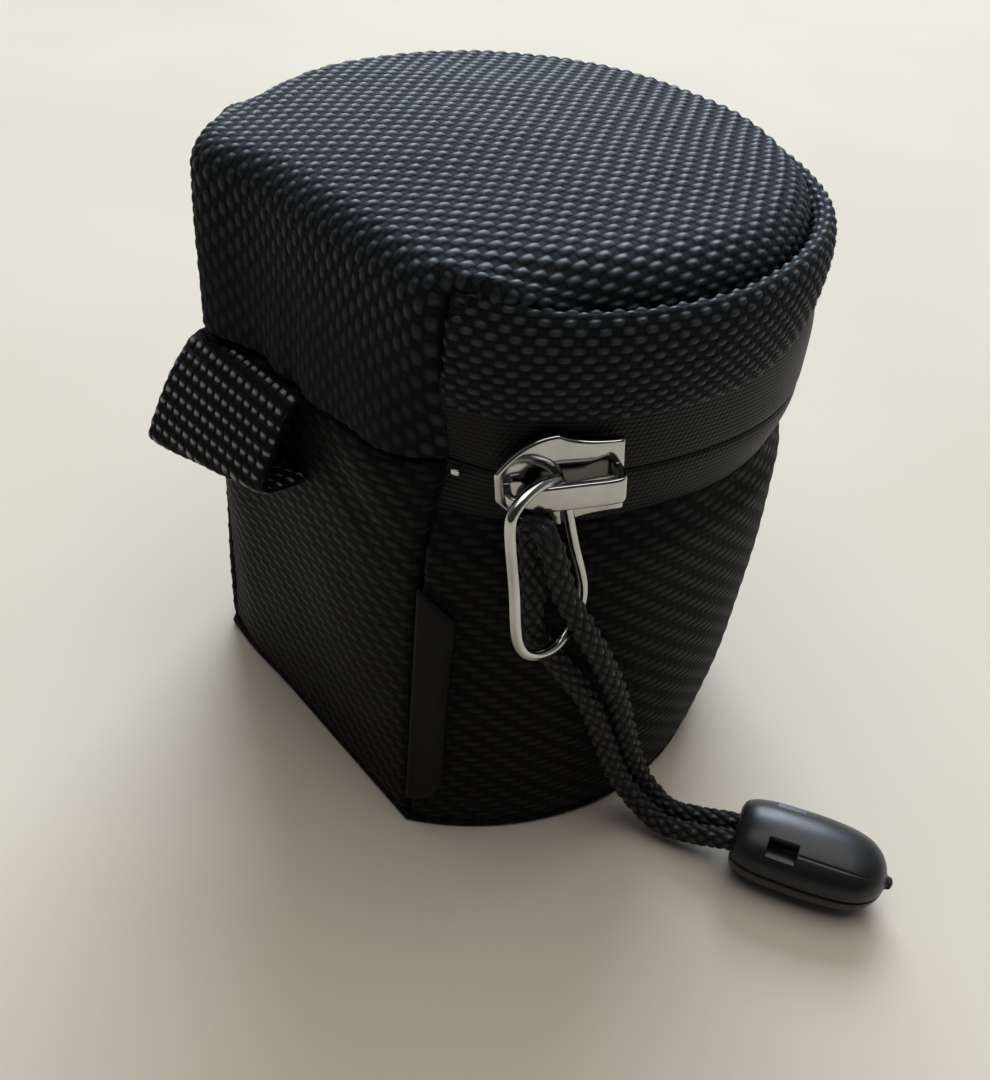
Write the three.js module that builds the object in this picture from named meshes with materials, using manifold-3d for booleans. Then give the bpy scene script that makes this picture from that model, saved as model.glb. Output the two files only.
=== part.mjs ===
// A small padded lens pouch: round front, flat back, deep zipped lid, belt loop and corded zip pull.
// Millimetres, +Z up. The round front faces -Y, the flat back faces +Y, and the floor is Z = 0.
// The origin is under the middle of the pouch and its belt loop; the zip runs about an upright axis near it.
import * as THREE from "three";
import { mergeVertices } from "three/addons/utils/BufferGeometryUtils.js";
import Module from "manifold-3d";

const wasm = await Module();
wasm.setup();

// Clearances
const GAP = 0.3; // between pieces that lie against each other
const RUN_GAP = 0.4; // between the slider and the tapes that it runs on

// Plan of the pouch, measured from the upright axis
const FRONT_RADIUS = 41;
const BACK_DEPTH = 32; // to the back's flat chord, between its two corners
const BACK_BULGE = 3.2; // how far the padded back stands out past that chord
const BULGE_HEIGHT = 60; // height at which the back bulges most
const ARC_STEPS = 32;
const BACK_STEPS = 10;
const SEAM_STEPS = 3;

// Layers of the wall
const CLOTH = 1.2;
const FOAM = 4;
const LINING = 0.8;
const TAPE = 0.7;
const BINDING = 0.8;

// Heights of the body
const BOTTOM_CLOTH = 1.5;
const BODY_HEM = 55.5; // top hem of the front wrap, over the lower zip tape
const ZIP_LINE = 62.3; // where the two tapes meet, and where the lid folds
const FOOT_DRAW_IN = 1.6; // by how much the front's radius is smaller at the floor
const FOOT_SHIFT = 2.2; // by how much the front's centre lies nearer the back at the floor
const DRAW_IN_HEIGHT = 50; // height at which the wall has reached its full width
const BINDING_HEIGHT = 6;

// Lid
const BAND_HEM = 70.3; // lower hem of the lid's side band, over the upper zip tape
const CREASE = 84; // underside of the lid's rolled edge
const ROLL_HEIGHT = 3.2;
const ROLL_OVERHANG = 1;
const BACK_EDGE_RADIUS = 7.5; // where the lid's top turns down into the back
const CROWN = 2.8; // rise of the padded top above its rolled edge
const LID_EDGE = 7.6; // thickness of the lid at its edge, from the lining to the top of the roll

// Zip
const ZIP_SLOT = 1.4; // between the two tape edges, for the slider's post
const TAPE_TUCK = 4; // tape hidden under a hem
const COIL_WIDTH = 2.2;
const COIL_DEPTH = 1.6;
const STOP_LENGTH = 1.6;
const STOP_INSET = 2.2; // zip stop to the end of the tape

// Slider
const SLIDER_ANGLE = 151; // degrees round the upright axis, closed, by the near back corner
const SLIDER_LENGTH = 15.4;
const SLIDER_WIDTH = 12.4;
const TAIL_WIDTH = 9.4;
const FRONT_PLATE = 1.5;
const BACK_PLATE = 1.2;
const BACK_PLATE_LENGTH = 13.4;
const BACK_PLATE_WIDTH = 9.6;
const POST_LENGTH = 3;
const SLIDER_TILT = 6.5; // degrees, nose down, about the post
const CROWN_STANDOFF = 2.65; // clear height under the crown
const CROWN_STRAP = 1.1;
const CROWN_WIDTH = 2.6;
const CROWN_FOOT = 1.1;
const CROWN_NOSE = 6.9; // middle of the slider to the crown's nose end
const CROWN_NECK = 1.2; // width of the crown at its nose end
const CROWN_NECK_LENGTH = 2;
const CROWN_TAIL = 6.8; // middle of the slider to the crown's tail end

// Wire pull
const WIRE = 1.3;
const PULL_HALF_TOP = 4.1; // half the width of the wire ring at the crown
const PULL_HALF_FOOT = 5.8; // half its width near the foot
const PULL_RISE = 2.3; // crown's middle line to the top of the ring
const PULL_DROP = 20.6; // crown's middle line to the foot of the ring
const PULL_CORNER = 2.4;
const PULL_ALONG = -3.5; // middle of the slider to where the ring hangs on the crown
const PULL_TURN = 56; // degrees that the ring is turned out of the radial plane
const PULL_TILT = 10; // degrees that the ring leans away from the wall
const PULL_SWING = 13.8; // degrees that the cord draws the ring aside in its own plane

// Cord and cord end
const CORD = 2.8;
const CORD_SIDES = 8;
const CORD_STEPS = 56;
const STRAND_SPACING = 3.3;
const END_LENGTH = 21.6;
const END_WIDTH = 12.8;
const END_HEIGHT = 10.2;
const END_WALL = 1.3;
const END_MOUTH = [-57.5, -5.85, 5.25]; // middle of the cord end's mouth
const END_HEADING = 211.3; // degrees round +Z, from the mouth to the tip
const MOUTH_DEPTH = 4.5;
const KNOT_LENGTH = 8.2;
const WINDOW_LENGTH = 3.8;
const WINDOW_WIDTH = 1.9;
const WINDOW_REACH = 5.4; // mouth to the middle of a latch window
const WINDOW_SPREAD = 4; // middle line to the middle of a latch window

// Route of the doubled cord: from the cord end up to the bight inside the wire ring, and back.
const CORD_ROUTE = [
  [-62.6, -10.85, 5.25],
  [-56.6, -7.25, 5.15],
  [-52, -4.75, 2.6],
  [-47.9, -2.45, 1.8],
  [-44.8, -0.75, 4.6],
  [-43.4, 2.65, 12.5],
  [-43.2, 6.15, 21.5],
  [-43.2, 9.35, 30],
  [-42.9, 12.95, 37.5],
  [-42.1, 16.25, 43.8],
  [-40.8, 19.25, 50],
  [-40.1, 21.05, 55.8],
  [-39.2, 21.95, 58.6],
  [-38, 22.05, 59.1],
  [-36.85, 22.15, 58.6],
  [-36.8, 21.95, 55.8],
  [-37.6, 21.45, 50],
  [-37.95, 20.75, 42.5],
  [-39.6, 17.35, 36.5],
  [-41.6, 12.75, 29],
  [-42.6, 9.35, 20.5],
  [-43.6, 5.95, 12],
  [-45.9, 2.65, 4.8],
  [-49.3, 0.65, 1.8],
  [-53.6, -1.65, 2.6],
  [-58.4, -4.45, 5.15],
  [-64.3, -8.05, 5.25],
];

// Belt loop, and the tab in the near corner's seam
const LOOP_WIDTH = 25;
const LOOP_THICK = 1.6;
const LOOP_OFFSET = 8; // along X
const LOOP_NEAR_REACH = 7; // back panel to the middle of the webbing at its outer fold, near edge
const LOOP_FAR_REACH = 12; // the same at the far edge
const LOOP_TOP = 60;
const LOOP_NEAR_FOOT = 46.5;
const LOOP_FAR_FOOT = 43;
const TAB_FOOT = 6;
const TAB_TOP = 43.5;
const TAB_WIDTH = 5.6;
const TAB_THICK = 0.9;

// Places that follow from the sizes above
const LOOP_FAR_EDGE = LOOP_OFFSET + LOOP_WIDTH / 2;
const BACK_REACH = panelAt(LOOP_FAR_EDGE, LOOP_FAR_FOOT) + LOOP_FAR_REACH + LOOP_THICK / 2;
const AXIS_Y = (FRONT_RADIUS + ROLL_OVERHANG - BACK_REACH) / 2;
const ZIP_RADIUS = FRONT_RADIUS - CLOTH - GAP; // outer face of both tapes
const LOWER_TAPE_TOP = ZIP_LINE - ZIP_SLOT / 2;
const UPPER_TAPE_FOOT = ZIP_LINE + ZIP_SLOT / 2;
const FOLD_BELOW = ZIP_LINE - GAP;
const FOLD_ABOVE = ZIP_LINE + GAP;
const WALL_FOOT = BOTTOM_CLOTH + GAP;
const FOAM_OUT = CLOTH + GAP;
const FOAM_IN = FOAM_OUT + FOAM;
const TAPE_BACK = FOAM_OUT + TAPE + GAP;
const LINING_OUT = FOAM_IN + GAP;
const LINING_IN = LINING_OUT + LINING;
const FLOOR_TOP = WALL_FOOT + FOAM + GAP + LINING;
const SLIDER_FACE = ZIP_RADIUS + RUN_GAP;
const POST_ALONG = POST_LENGTH - BACK_PLATE_LENGTH / 2;
const LID_INSIDE_TOP = CREASE + ROLL_HEIGHT - LID_EDGE; // upper face of the lid's lining
const CROWN_MIDDLE = SLIDER_FACE + FRONT_PLATE + GAP + CROWN_STANDOFF + CROWN_STRAP / 2;

function degrees(angle) {
  return THREE.MathUtils.degToRad(angle);
}

function material(color, roughness, metalness = 0) {
  return new THREE.MeshStandardMaterial({ color, roughness, metalness });
}

const COARSE_CLOTH = material(0x2b2d33, 0.62);
const TWILL_CLOTH = material(0x1b1c1f, 0.75);
const WEBBING = material(0x17181a, 0.7);
const FOAM_GREY = material(0x3a3b3d, 0.95);
const LINING_CLOTH = material(0x26272a, 0.85);
const ZIP_BLACK = material(0x141516, 0.7);
const CHROME = material(0xc9cbcc, 0.18, 1);
const CORD_BLACK = material(0x131314, 0.8);
const SATIN_PLASTIC = material(0x1d1e20, 0.4);

// Solids and booleans

function solid(geometry) {
  const bare = geometry.clone();
  bare.deleteAttribute("normal");
  bare.deleteAttribute("uv");
  const merged = mergeVertices(bare, 1e-4);
  return new wasm.Manifold(
    new wasm.Mesh({
      numProp: 3,
      vertProperties: new Float32Array(merged.attributes.position.array),
      triVerts: new Uint32Array(merged.index.array),
    }),
  );
}

function geometryOf(shape) {
  const mesh = shape.getMesh();
  const geometry = new THREE.BufferGeometry();
  geometry.setAttribute("position", new THREE.BufferAttribute(mesh.vertProperties, 3));
  geometry.setIndex(new THREE.BufferAttribute(mesh.triVerts, 1));
  geometry.computeVertexNormals();
  return geometry;
}

function piece(name, shape, finish) {
  const geometry = shape.isBufferGeometry ? shape : geometryOf(shape);
  const mesh = new THREE.Mesh(geometry, finish);
  mesh.name = name;
  return mesh;
}

function indexed(positions, index) {
  const geometry = new THREE.BufferGeometry();
  geometry.setAttribute("position", new THREE.Float32BufferAttribute(positions, 3));
  geometry.setIndex(index);
  geometry.computeVertexNormals();
  return geometry;
}

// Plan paths. Each runs clockwise seen from above, so every path of one kind has the same count of points.

function arcPoints(x, y, radius, from, to, steps) {
  return Array.from({ length: steps + 1 }, (_, i) => {
    const angle = from + ((to - from) * i) / steps;
    return new THREE.Vector2(x + radius * Math.cos(angle), y + radius * Math.sin(angle));
  });
}

/** How far the back stands out past its chord, in the middle, at a height. */
function bulgeAt(z) {
  return BACK_BULGE * Math.sin((Math.PI * z) / BULGE_HEIGHT / 2);
}

/** The wall's plan at a height, set in from its outer face; its front arc is centred at [0, shift]. */
function wallPlan(z, inset) {
  const tuck = Math.max(0, 1 - z / DRAW_IN_HEIGHT) ** 2;
  const shift = FOOT_SHIFT * tuck;
  return {
    radius: FRONT_RADIUS - FOOT_DRAW_IN * tuck - inset,
    back: BACK_DEPTH - inset,
    bulge: bulgeAt(z),
    shift,
  };
}

/** Where the front arc meets the back: half the width of the back, and the angle about the arc's centre. */
function cornerOf({ radius, back, shift }) {
  const turn = Math.asin((back - shift) / radius);
  return { half: radius * Math.cos(turn), turn };
}

/** Share of the back's bulge at a share of its half width. */
function bulgeShare(across) {
  return Math.max(0, 1 - across ** 4);
}

/** The outer face of the back, as a distance from the upright axis. */
function panelAt(x, z) {
  const { half } = cornerOf(wallPlan(z, 0));
  return BACK_DEPTH + bulgeAt(z) * bulgeShare(x / half);
}

function frontPath(plan) {
  const { turn } = cornerOf(plan);
  const trim = GAP / plan.radius;
  return arcPoints(0, plan.shift, plan.radius, turn - trim, -Math.PI - turn + trim, ARC_STEPS);
}

function backPath(plan) {
  const { half } = cornerOf(plan);
  return Array.from({ length: BACK_STEPS + 1 }, (_, i) => {
    const across = Math.sin(Math.PI * (i / BACK_STEPS - 0.5));
    return new THREE.Vector2(across * half, plan.back + plan.bulge * bulgeShare(across));
  });
}

function wholePath(plan) {
  const { turn } = cornerOf(plan);
  const front = arcPoints(0, plan.shift, plan.radius, turn, -Math.PI - turn, ARC_STEPS);
  return [...front.slice(0, -1), ...backPath(plan).slice(0, -1)];
}

/** A few degrees of the front arc next to the near corner or the far one. */
function seamPath(width, near) {
  return (plan) => {
    const { turn } = cornerOf(plan);
    const from = GAP / plan.radius;
    const to = from + width / plan.radius;
    const angle = (turnBy) => (near ? Math.PI - turn + turnBy : turn - turnBy);
    const [start, end] = near ? [to, from] : [from, to];
    return arcPoints(0, plan.shift, plan.radius, angle(start), angle(end), SEAM_STEPS);
  };
}

/** A strip carried along part of the wall; its levels, from the foot up, are [height, outer inset, inner inset]. */
function wallStrip(path, levels) {
  const outer = levels.map(([z, inset]) => ({ z, points: path(wallPlan(z, inset)) }));
  const inner = levels.map(([z, , inset]) => ({ z, points: path(wallPlan(z, inset)) }));
  const rails = [...outer, ...inner.toReversed()];
  const stations = rails[0].points.length;
  const count = rails.length;
  const positions = [];
  for (let i = 0; i < stations; i++)
    for (const { points, z } of rails) positions.push(points[i].x, points[i].y, z);
  const index = [];
  for (let i = 0; i < stations - 1; i++)
    for (let j = 0; j < count; j++) {
      const a = i * count + j;
      const b = i * count + ((j + 1) % count);
      index.push(a, b, b + count, a, b + count, a + count);
    }
  const last = (stations - 1) * count;
  for (let k = 0; k < levels.length - 1; k++) {
    const [a, b, c, d] = [k, k + 1, count - 2 - k, count - 1 - k];
    index.push(a, c, b, a, d, c);
    index.push(last + a, last + b, last + c, last + a, last + c, last + d);
  }
  return indexed(positions, index);
}

/** A solid skinned over rings of points, each a closed loop; flat gives a ring's outline for its end face. */
function skinned(rings, flat) {
  const clockwise = THREE.ShapeUtils.isClockWise(rings[0].map(flat));
  const loops = clockwise ? rings.map((ring) => ring.toReversed()) : rings;
  const count = loops[0].length;
  const positions = loops.flat().flatMap((p) => p.toArray());
  const index = [];
  for (let k = 0; k < loops.length - 1; k++)
    for (let i = 0; i < count; i++) {
      const a = k * count + i;
      const b = k * count + ((i + 1) % count);
      index.push(a, b, b + count, a, b + count, a + count);
    }
  const last = (loops.length - 1) * count;
  for (const [a, b, c] of THREE.ShapeUtils.triangulateShape(loops[0].map(flat), [])) index.push(a, c, b);
  for (const [a, b, c] of THREE.ShapeUtils.triangulateShape(loops.at(-1).map(flat), []))
    index.push(last + a, last + b, last + c);
  return indexed(positions, index);
}

/** A solid over level plan rings, each [path points, height], from the lowest to the highest. */
function stacked(rings) {
  const loops = rings.map(([points, z]) => points.map((p) => new THREE.Vector3(p.x, p.y, z)));
  return skinned(loops, (p) => new THREE.Vector2(p.x, p.y));
}

/** A level ring that follows the whole wall. */
function wallRing(inset, z) {
  return [wholePath(wallPlan(z, inset)), z];
}

/** Heights at which the curved wall gets a ring, between two limits. */
function wallHeights(low, high) {
  const knees = [5, 10, 20, 32, DRAW_IN_HEIGHT].filter((z) => z > low + 1 && z < high - 1);
  return [low, ...knees, high];
}

/** Levels of a layer that follows the curved wall from its outer inset to its inner one. */
function layer(outer, inner, low, high) {
  return wallHeights(low, high).map((z) => [z, outer, inner]);
}

/** A wedge from the upright axis out past the round front, to cut pieces that stand longer at the back. */
function frontCutter(low, high, reach) {
  const arc = frontPath(wallPlan(high, -reach));
  const shape = new THREE.Shape([...arc.toReversed(), new THREE.Vector2(0, 0)]);
  const wedge = new THREE.ExtrudeGeometry(shape, { depth: high - low, bevelEnabled: false });
  return solid(wedge.translate(0, 0, low));
}

function box(size, centre) {
  return solid(new THREE.BoxGeometry(...size).translate(...centre));
}

// Body

function bodyPieces() {
  const bottom = stacked([
    [wholePath(wallPlan(0, CLOTH / 2)), 0],
    [wholePath(wallPlan(0, 0)), BOTTOM_CLOTH / 2],
    [wholePath(wallPlan(0, 0)), BOTTOM_CLOTH],
  ]);
  const foamTop = WALL_FOOT + FOAM;
  const bottomFoam = stacked([
    [wholePath(wallPlan(WALL_FOOT, LINING_OUT)), WALL_FOOT],
    [wholePath(wallPlan(WALL_FOOT, LINING_OUT)), foamTop],
  ]);
  const step = BODY_HEM - TAPE_TUCK - GAP;
  const frontFoam = [
    ...layer(FOAM_OUT, FOAM_IN, WALL_FOOT, step - GAP),
    [step, TAPE_BACK, FOAM_IN],
    [BODY_HEM, TAPE_BACK, FOAM_IN],
  ];
  return [
    piece("bottom_panel", bottom, TWILL_CLOTH),
    piece("front_wrap", wallStrip(frontPath, layer(0, CLOTH, WALL_FOOT, BODY_HEM)), TWILL_CLOTH),
    piece("lower_back_panel", wallStrip(backPath, layer(0, CLOTH, WALL_FOOT, FOLD_BELOW)), TWILL_CLOTH),
    piece("front_foam", wallStrip(frontPath, frontFoam), FOAM_GREY),
    piece("back_foam", wallStrip(backPath, layer(FOAM_OUT, FOAM_IN, WALL_FOOT, FOLD_BELOW)), FOAM_GREY),
    piece("bottom_foam", bottomFoam, FOAM_GREY),
    piece("body_lining", bodyLining(), LINING_CLOTH),
    piece("bottom_binding", bottomBinding(), LINING_CLOTH),
    piece("near_seam_tape", seamTape(true), LINING_CLOTH),
    piece("far_seam_tape", seamTape(false), LINING_CLOTH),
    piece("belt_loop", beltLoop(), WEBBING),
    piece("side_tab", sideTab(), WEBBING),
  ];
}

/** The lining is one cup, lower at the front than at the back. */
function bodyLining() {
  const foot = WALL_FOOT + FOAM + GAP;
  const rings = (inset, heights) => heights.map((z) => wallRing(inset, z));
  const cup = solid(stacked(rings(LINING_OUT, wallHeights(foot, FOLD_BELOW))));
  const hollow = solid(stacked(rings(LINING_IN, wallHeights(FLOOR_TOP, FOLD_BELOW + 1))));
  return cup.subtract(hollow).subtract(frontCutter(BODY_HEM, FOLD_BELOW + 1, GAP));
}

/** A tape that binds the seam between the wall and the floor, inside. */
function bottomBinding() {
  const low = FLOOR_TOP + GAP;
  const high = low + BINDING_HEIGHT;
  const out = LINING_IN + GAP;
  const ring = solid(stacked([wallRing(out, low), wallRing(out, high)]));
  const hollow = stacked([wallRing(out + BINDING, low - 1), wallRing(out + BINDING, high + 1)]);
  return ring.subtract(solid(hollow));
}

/** An upright tape that binds a corner seam, inside. */
function seamTape(near) {
  const out = LINING_IN + GAP;
  const low = FLOOR_TOP + BINDING_HEIGHT + 2 * GAP;
  return wallStrip(seamPath(BINDING_HEIGHT, near), layer(out, out + BINDING, low, BODY_HEM));
}

/** Middle line of the webbing, as [distance from the panel, height], for one edge of the belt loop. */
function loopRun(reach, foot) {
  const drop = LOOP_TOP - foot;
  const route = [
    [0, 1],
    [0.25, 0.98],
    [0.5, 0.83],
    [0.8, 0.51],
    [0.96, 0.27],
    [1, 0.15],
    [0.88, 0.05],
    [0.6, 0.02],
    [0, 0],
  ];
  const points = route.map(([out, up]) => new THREE.Vector3(GAP + out * (reach - GAP), foot + up * drop, 0));
  return new THREE.CatmullRomCurve3(points, false, "centripetal");
}

/** Webbing that leaves the back seam, runs out and down to a fold, and comes back to the panel. */
function beltLoop() {
  const across = 6;
  const along = 22;
  const rows = Array.from({ length: across + 1 }, (_, i) => {
    const share = i / across;
    const x = LOOP_OFFSET + LOOP_WIDTH * (share - 0.5);
    const reach = THREE.MathUtils.lerp(LOOP_NEAR_REACH, LOOP_FAR_REACH, share);
    const foot = THREE.MathUtils.lerp(LOOP_NEAR_FOOT, LOOP_FAR_FOOT, share);
    const run = loopRun(reach, foot);
    const side = (shift) =>
      Array.from({ length: along + 1 }, (_, k) => {
        const middle = run.getPointAt(k / along);
        const ahead = run.getTangentAt(k / along);
        const z = middle.y + ahead.x * shift;
        const out = Math.max(GAP, middle.x - ahead.y * shift);
        return new THREE.Vector3(x, panelAt(x, z) + out, z);
      });
    return [...side(LOOP_THICK / 2), ...side(-LOOP_THICK / 2).toReversed()];
  });
  return skinned(rows, (p) => new THREE.Vector2(p.y, p.z));
}

/** A folded tab sewn into the near corner's seam, lying on the front wrap. */
function sideTab() {
  return wallStrip(seamPath(TAB_WIDTH, true), layer(-GAP - TAB_THICK, -GAP, TAB_FOOT, TAB_TOP));
}

// Zip: two tapes with their coils behind them, along the round front

function zipTape(low, high) {
  return wallStrip(frontPath, layer(FOAM_OUT, FOAM_OUT + TAPE, low, high));
}

function zipCoil(low, high) {
  return wallStrip(frontPath, layer(TAPE_BACK, TAPE_BACK + COIL_DEPTH, low, high));
}

/** A small crimped stop over the end of the lower tape. */
function zipStop(name, angle) {
  const group = new THREE.Group();
  group.rotation.z = angle;
  const shape = new THREE.BoxGeometry(TAPE, STOP_LENGTH, COIL_WIDTH);
  shape.translate(ZIP_RADIUS + GAP + TAPE / 2, 0, LOWER_TAPE_TOP - COIL_WIDTH / 2);
  group.add(piece(name, shape, CHROME));
  return group;
}

function lowerZip() {
  const { turn } = cornerOf(wallPlan(ZIP_LINE, FOAM_OUT));
  const inset = STOP_INSET / ZIP_RADIUS;
  return [
    piece("lower_zip_tape", zipTape(BODY_HEM - TAPE_TUCK, LOWER_TAPE_TOP), ZIP_BLACK),
    piece("lower_zip_coil", zipCoil(LOWER_TAPE_TOP - COIL_WIDTH, LOWER_TAPE_TOP), ZIP_BLACK),
    zipStop("near_zip_stop", Math.PI - turn + inset),
    zipStop("far_zip_stop", turn - inset),
  ];
}

// Lid

/** The lid's plan at a height: upright walls, a back that turns in to the top, and a rolled front edge. */
function lidPlan(z, inset) {
  const top = CREASE + ROLL_HEIGHT;
  const up = THREE.MathUtils.clamp((z - top) / BACK_EDGE_RADIUS + 1, 0, 1);
  const rolled = THREE.MathUtils.clamp((z - CREASE) / ROLL_HEIGHT, 0, 1);
  const roll = ROLL_OVERHANG * Math.sin(Math.PI * rolled) - ROLL_HEIGHT * 0.7 * rolled ** 3;
  return {
    radius: FRONT_RADIUS + roll - inset,
    back: BACK_DEPTH - BACK_EDGE_RADIUS * (1 - Math.sqrt(1 - up ** 2)) - inset,
    bulge: bulgeAt(z),
    shift: 0,
  };
}

/** The lid's skin, from its lower edge to the crown, drawn in by an even inset. */
function lidSkin(low, inset) {
  const top = CREASE + ROLL_HEIGHT - inset;
  const edge = top + inset - BACK_EDGE_RADIUS;
  const steps = [0.18, 0.42, 0.64, 0.82, 0.94];
  const heights = [low, edge, ...steps.map((s) => edge + s * BACK_EDGE_RADIUS)];
  const rings = heights.filter((z) => z < top).map((z) => [wholePath(lidPlan(z, inset)), z]);
  const rim = wholePath(lidPlan(CREASE + ROLL_HEIGHT * 0.97, inset));
  const domed = [1, 0.8, 0.55, 0.25].map((s) => [
    rim.map((p) => p.clone().multiplyScalar(s)),
    top + CROWN * (1 - s ** 2),
  ]);
  return solid(stacked([...rings, ...domed]));
}

/** One piece of cloth: the crowned top with its rolled edge, turned down over the back to the fold. */
function lidCover() {
  const shell = lidSkin(FOLD_ABOVE, 0).subtract(lidSkin(FOLD_ABOVE - 1, CLOTH));
  return shell.subtract(frontCutter(FOLD_ABOVE - 1, CREASE, ROLL_OVERHANG + 1));
}

function lidPad() {
  const low = LID_INSIDE_TOP + GAP;
  const core = stacked([wallRing(LINING_OUT, low), wallRing(LINING_OUT, CREASE + ROLL_HEIGHT + CROWN)]);
  return lidSkin(low, CLOTH + GAP).intersect(solid(core));
}

/** An upside-down cup that stands lower at the back than at the front. */
function lidLining() {
  const cup = solid(stacked([wallRing(LINING_OUT, FOLD_ABOVE), wallRing(LINING_OUT, LID_INSIDE_TOP)]));
  const hollow = stacked([
    wallRing(LINING_IN, FOLD_ABOVE - 1),
    wallRing(LINING_IN, LID_INSIDE_TOP - LINING),
  ]);
  return cup.subtract(solid(hollow)).subtract(frontCutter(FOLD_ABOVE - 1, BAND_HEM, GAP));
}

function lidPieces() {
  const band = layer(0, CLOTH, BAND_HEM, CREASE - GAP);
  const tapeTop = BAND_HEM + TAPE_TUCK;
  const bandFoam = [
    [BAND_HEM, TAPE_BACK, FOAM_IN],
    [tapeTop + GAP, TAPE_BACK, FOAM_IN],
    [tapeTop + 2 * GAP, FOAM_OUT, FOAM_IN],
    [CREASE - GAP, FOAM_OUT, FOAM_IN],
  ];
  const backEdge = CREASE + ROLL_HEIGHT - BACK_EDGE_RADIUS;
  const backFoam = layer(FOAM_OUT, FOAM_IN, FOLD_ABOVE, backEdge);
  return [
    piece("lid_cover", lidCover(), COARSE_CLOTH),
    piece("lid_side_band", wallStrip(frontPath, band), COARSE_CLOTH),
    piece("lid_pad", lidPad(), FOAM_GREY),
    piece("lid_band_foam", wallStrip(frontPath, bandFoam), FOAM_GREY),
    piece("lid_back_foam", wallStrip(backPath, backFoam), FOAM_GREY),
    piece("lid_lining", lidLining(), LINING_CLOTH),
    piece("upper_zip_tape", zipTape(UPPER_TAPE_FOOT, tapeTop), ZIP_BLACK),
    piece("upper_zip_coil", zipCoil(UPPER_TAPE_FOOT, UPPER_TAPE_FOOT + COIL_WIDTH), ZIP_BLACK),
  ];
}

// Slider, in a group whose +X points outward, +Y along the zip towards the tail and +Z up from the zip line

/** Extrudes an outline drawn in [along the zip, up] outward from one radius to another. */
function plate(outline, from, to) {
  const outward = new THREE.Matrix4().makeBasis(
    new THREE.Vector3(0, 1, 0),
    new THREE.Vector3(0, 0, 1),
    new THREE.Vector3(1, 0, 0),
  );
  return new THREE.ExtrudeGeometry(outline, { depth: to - from, bevelEnabled: false, curveSegments: 5 })
    .applyMatrix4(outward)
    .translate(from, 0, 0);
}

/** Half-round nose, two shoulders, and necks drawn in to a square tail. */
function sliderOutline(length, width, tail) {
  const nose = -length / 2;
  const half = width / 2;
  const neck = tail / 2;
  const outline = new THREE.Shape();
  outline.moveTo(nose, -half * 0.28);
  outline.quadraticCurveTo(nose * 0.55, -half, 0, -half);
  outline.quadraticCurveTo(-nose * 0.3, -neck, -nose, -neck);
  outline.lineTo(-nose, neck);
  outline.quadraticCurveTo(-nose * 0.3, neck, 0, half);
  outline.quadraticCurveTo(nose * 0.55, half, nose, half * 0.28);
  outline.closePath();
  return outline;
}

function sliderBody() {
  const coilInside = ZIP_RADIUS - TAPE - GAP - COIL_DEPTH - RUN_GAP;
  const backFace = Math.sqrt(coilInside ** 2 - (BACK_PLATE_LENGTH / 2) ** 2);
  const front = plate(
    sliderOutline(SLIDER_LENGTH, SLIDER_WIDTH, TAIL_WIDTH),
    SLIDER_FACE,
    SLIDER_FACE + FRONT_PLATE,
  );
  const back = plate(
    sliderOutline(BACK_PLATE_LENGTH, BACK_PLATE_WIDTH, TAIL_WIDTH),
    backFace - BACK_PLATE,
    backFace,
  );
  const postHeight = ZIP_SLOT - 2 * GAP;
  const postDepth = SLIDER_FACE - backFace + FRONT_PLATE / 2 + BACK_PLATE / 2;
  const postOut = backFace - BACK_PLATE / 2 + postDepth / 2;
  const post = box([postDepth, POST_LENGTH, postHeight], [postOut, POST_ALONG, 0]);
  return solid(front).add(post).add(solid(back));
}

/** A strap that stands off the front plate on a foot at each end, with a narrow neck at its nose. */
function sliderCrown() {
  const foot = SLIDER_FACE + FRONT_PLATE + GAP;
  const under = foot + CROWN_STANDOFF;
  const top = under + CROWN_STRAP;
  const outline = new THREE.Shape();
  outline.moveTo(foot, -CROWN_NOSE);
  outline.lineTo(under, -CROWN_NOSE);
  outline.quadraticCurveTo(top, -CROWN_NOSE, top, -CROWN_NOSE + CROWN_FOOT);
  outline.lineTo(top, CROWN_TAIL - CROWN_FOOT);
  outline.quadraticCurveTo(top, CROWN_TAIL, under, CROWN_TAIL);
  outline.lineTo(foot, CROWN_TAIL);
  outline.lineTo(foot, CROWN_TAIL - CROWN_FOOT);
  outline.lineTo(under, CROWN_TAIL - CROWN_FOOT);
  outline.lineTo(under, -CROWN_NOSE + CROWN_FOOT);
  outline.lineTo(foot, -CROWN_NOSE + CROWN_FOOT);
  outline.closePath();
  const strap = new THREE.ExtrudeGeometry(outline, {
    depth: CROWN_WIDTH,
    bevelEnabled: false,
    curveSegments: 4,
  }).translate(0, 0, -CROWN_WIDTH / 2);
  const trim = (CROWN_WIDTH - CROWN_NECK) / 2;
  const beside = (sign) =>
    box(
      [2 * (top - foot), 2 * CROWN_NECK_LENGTH, 2 * trim],
      [(foot + top) / 2, -CROWN_NOSE, (sign * CROWN_WIDTH) / 2],
    );
  return solid(strap).subtract(beside(1)).subtract(beside(-1));
}

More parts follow.
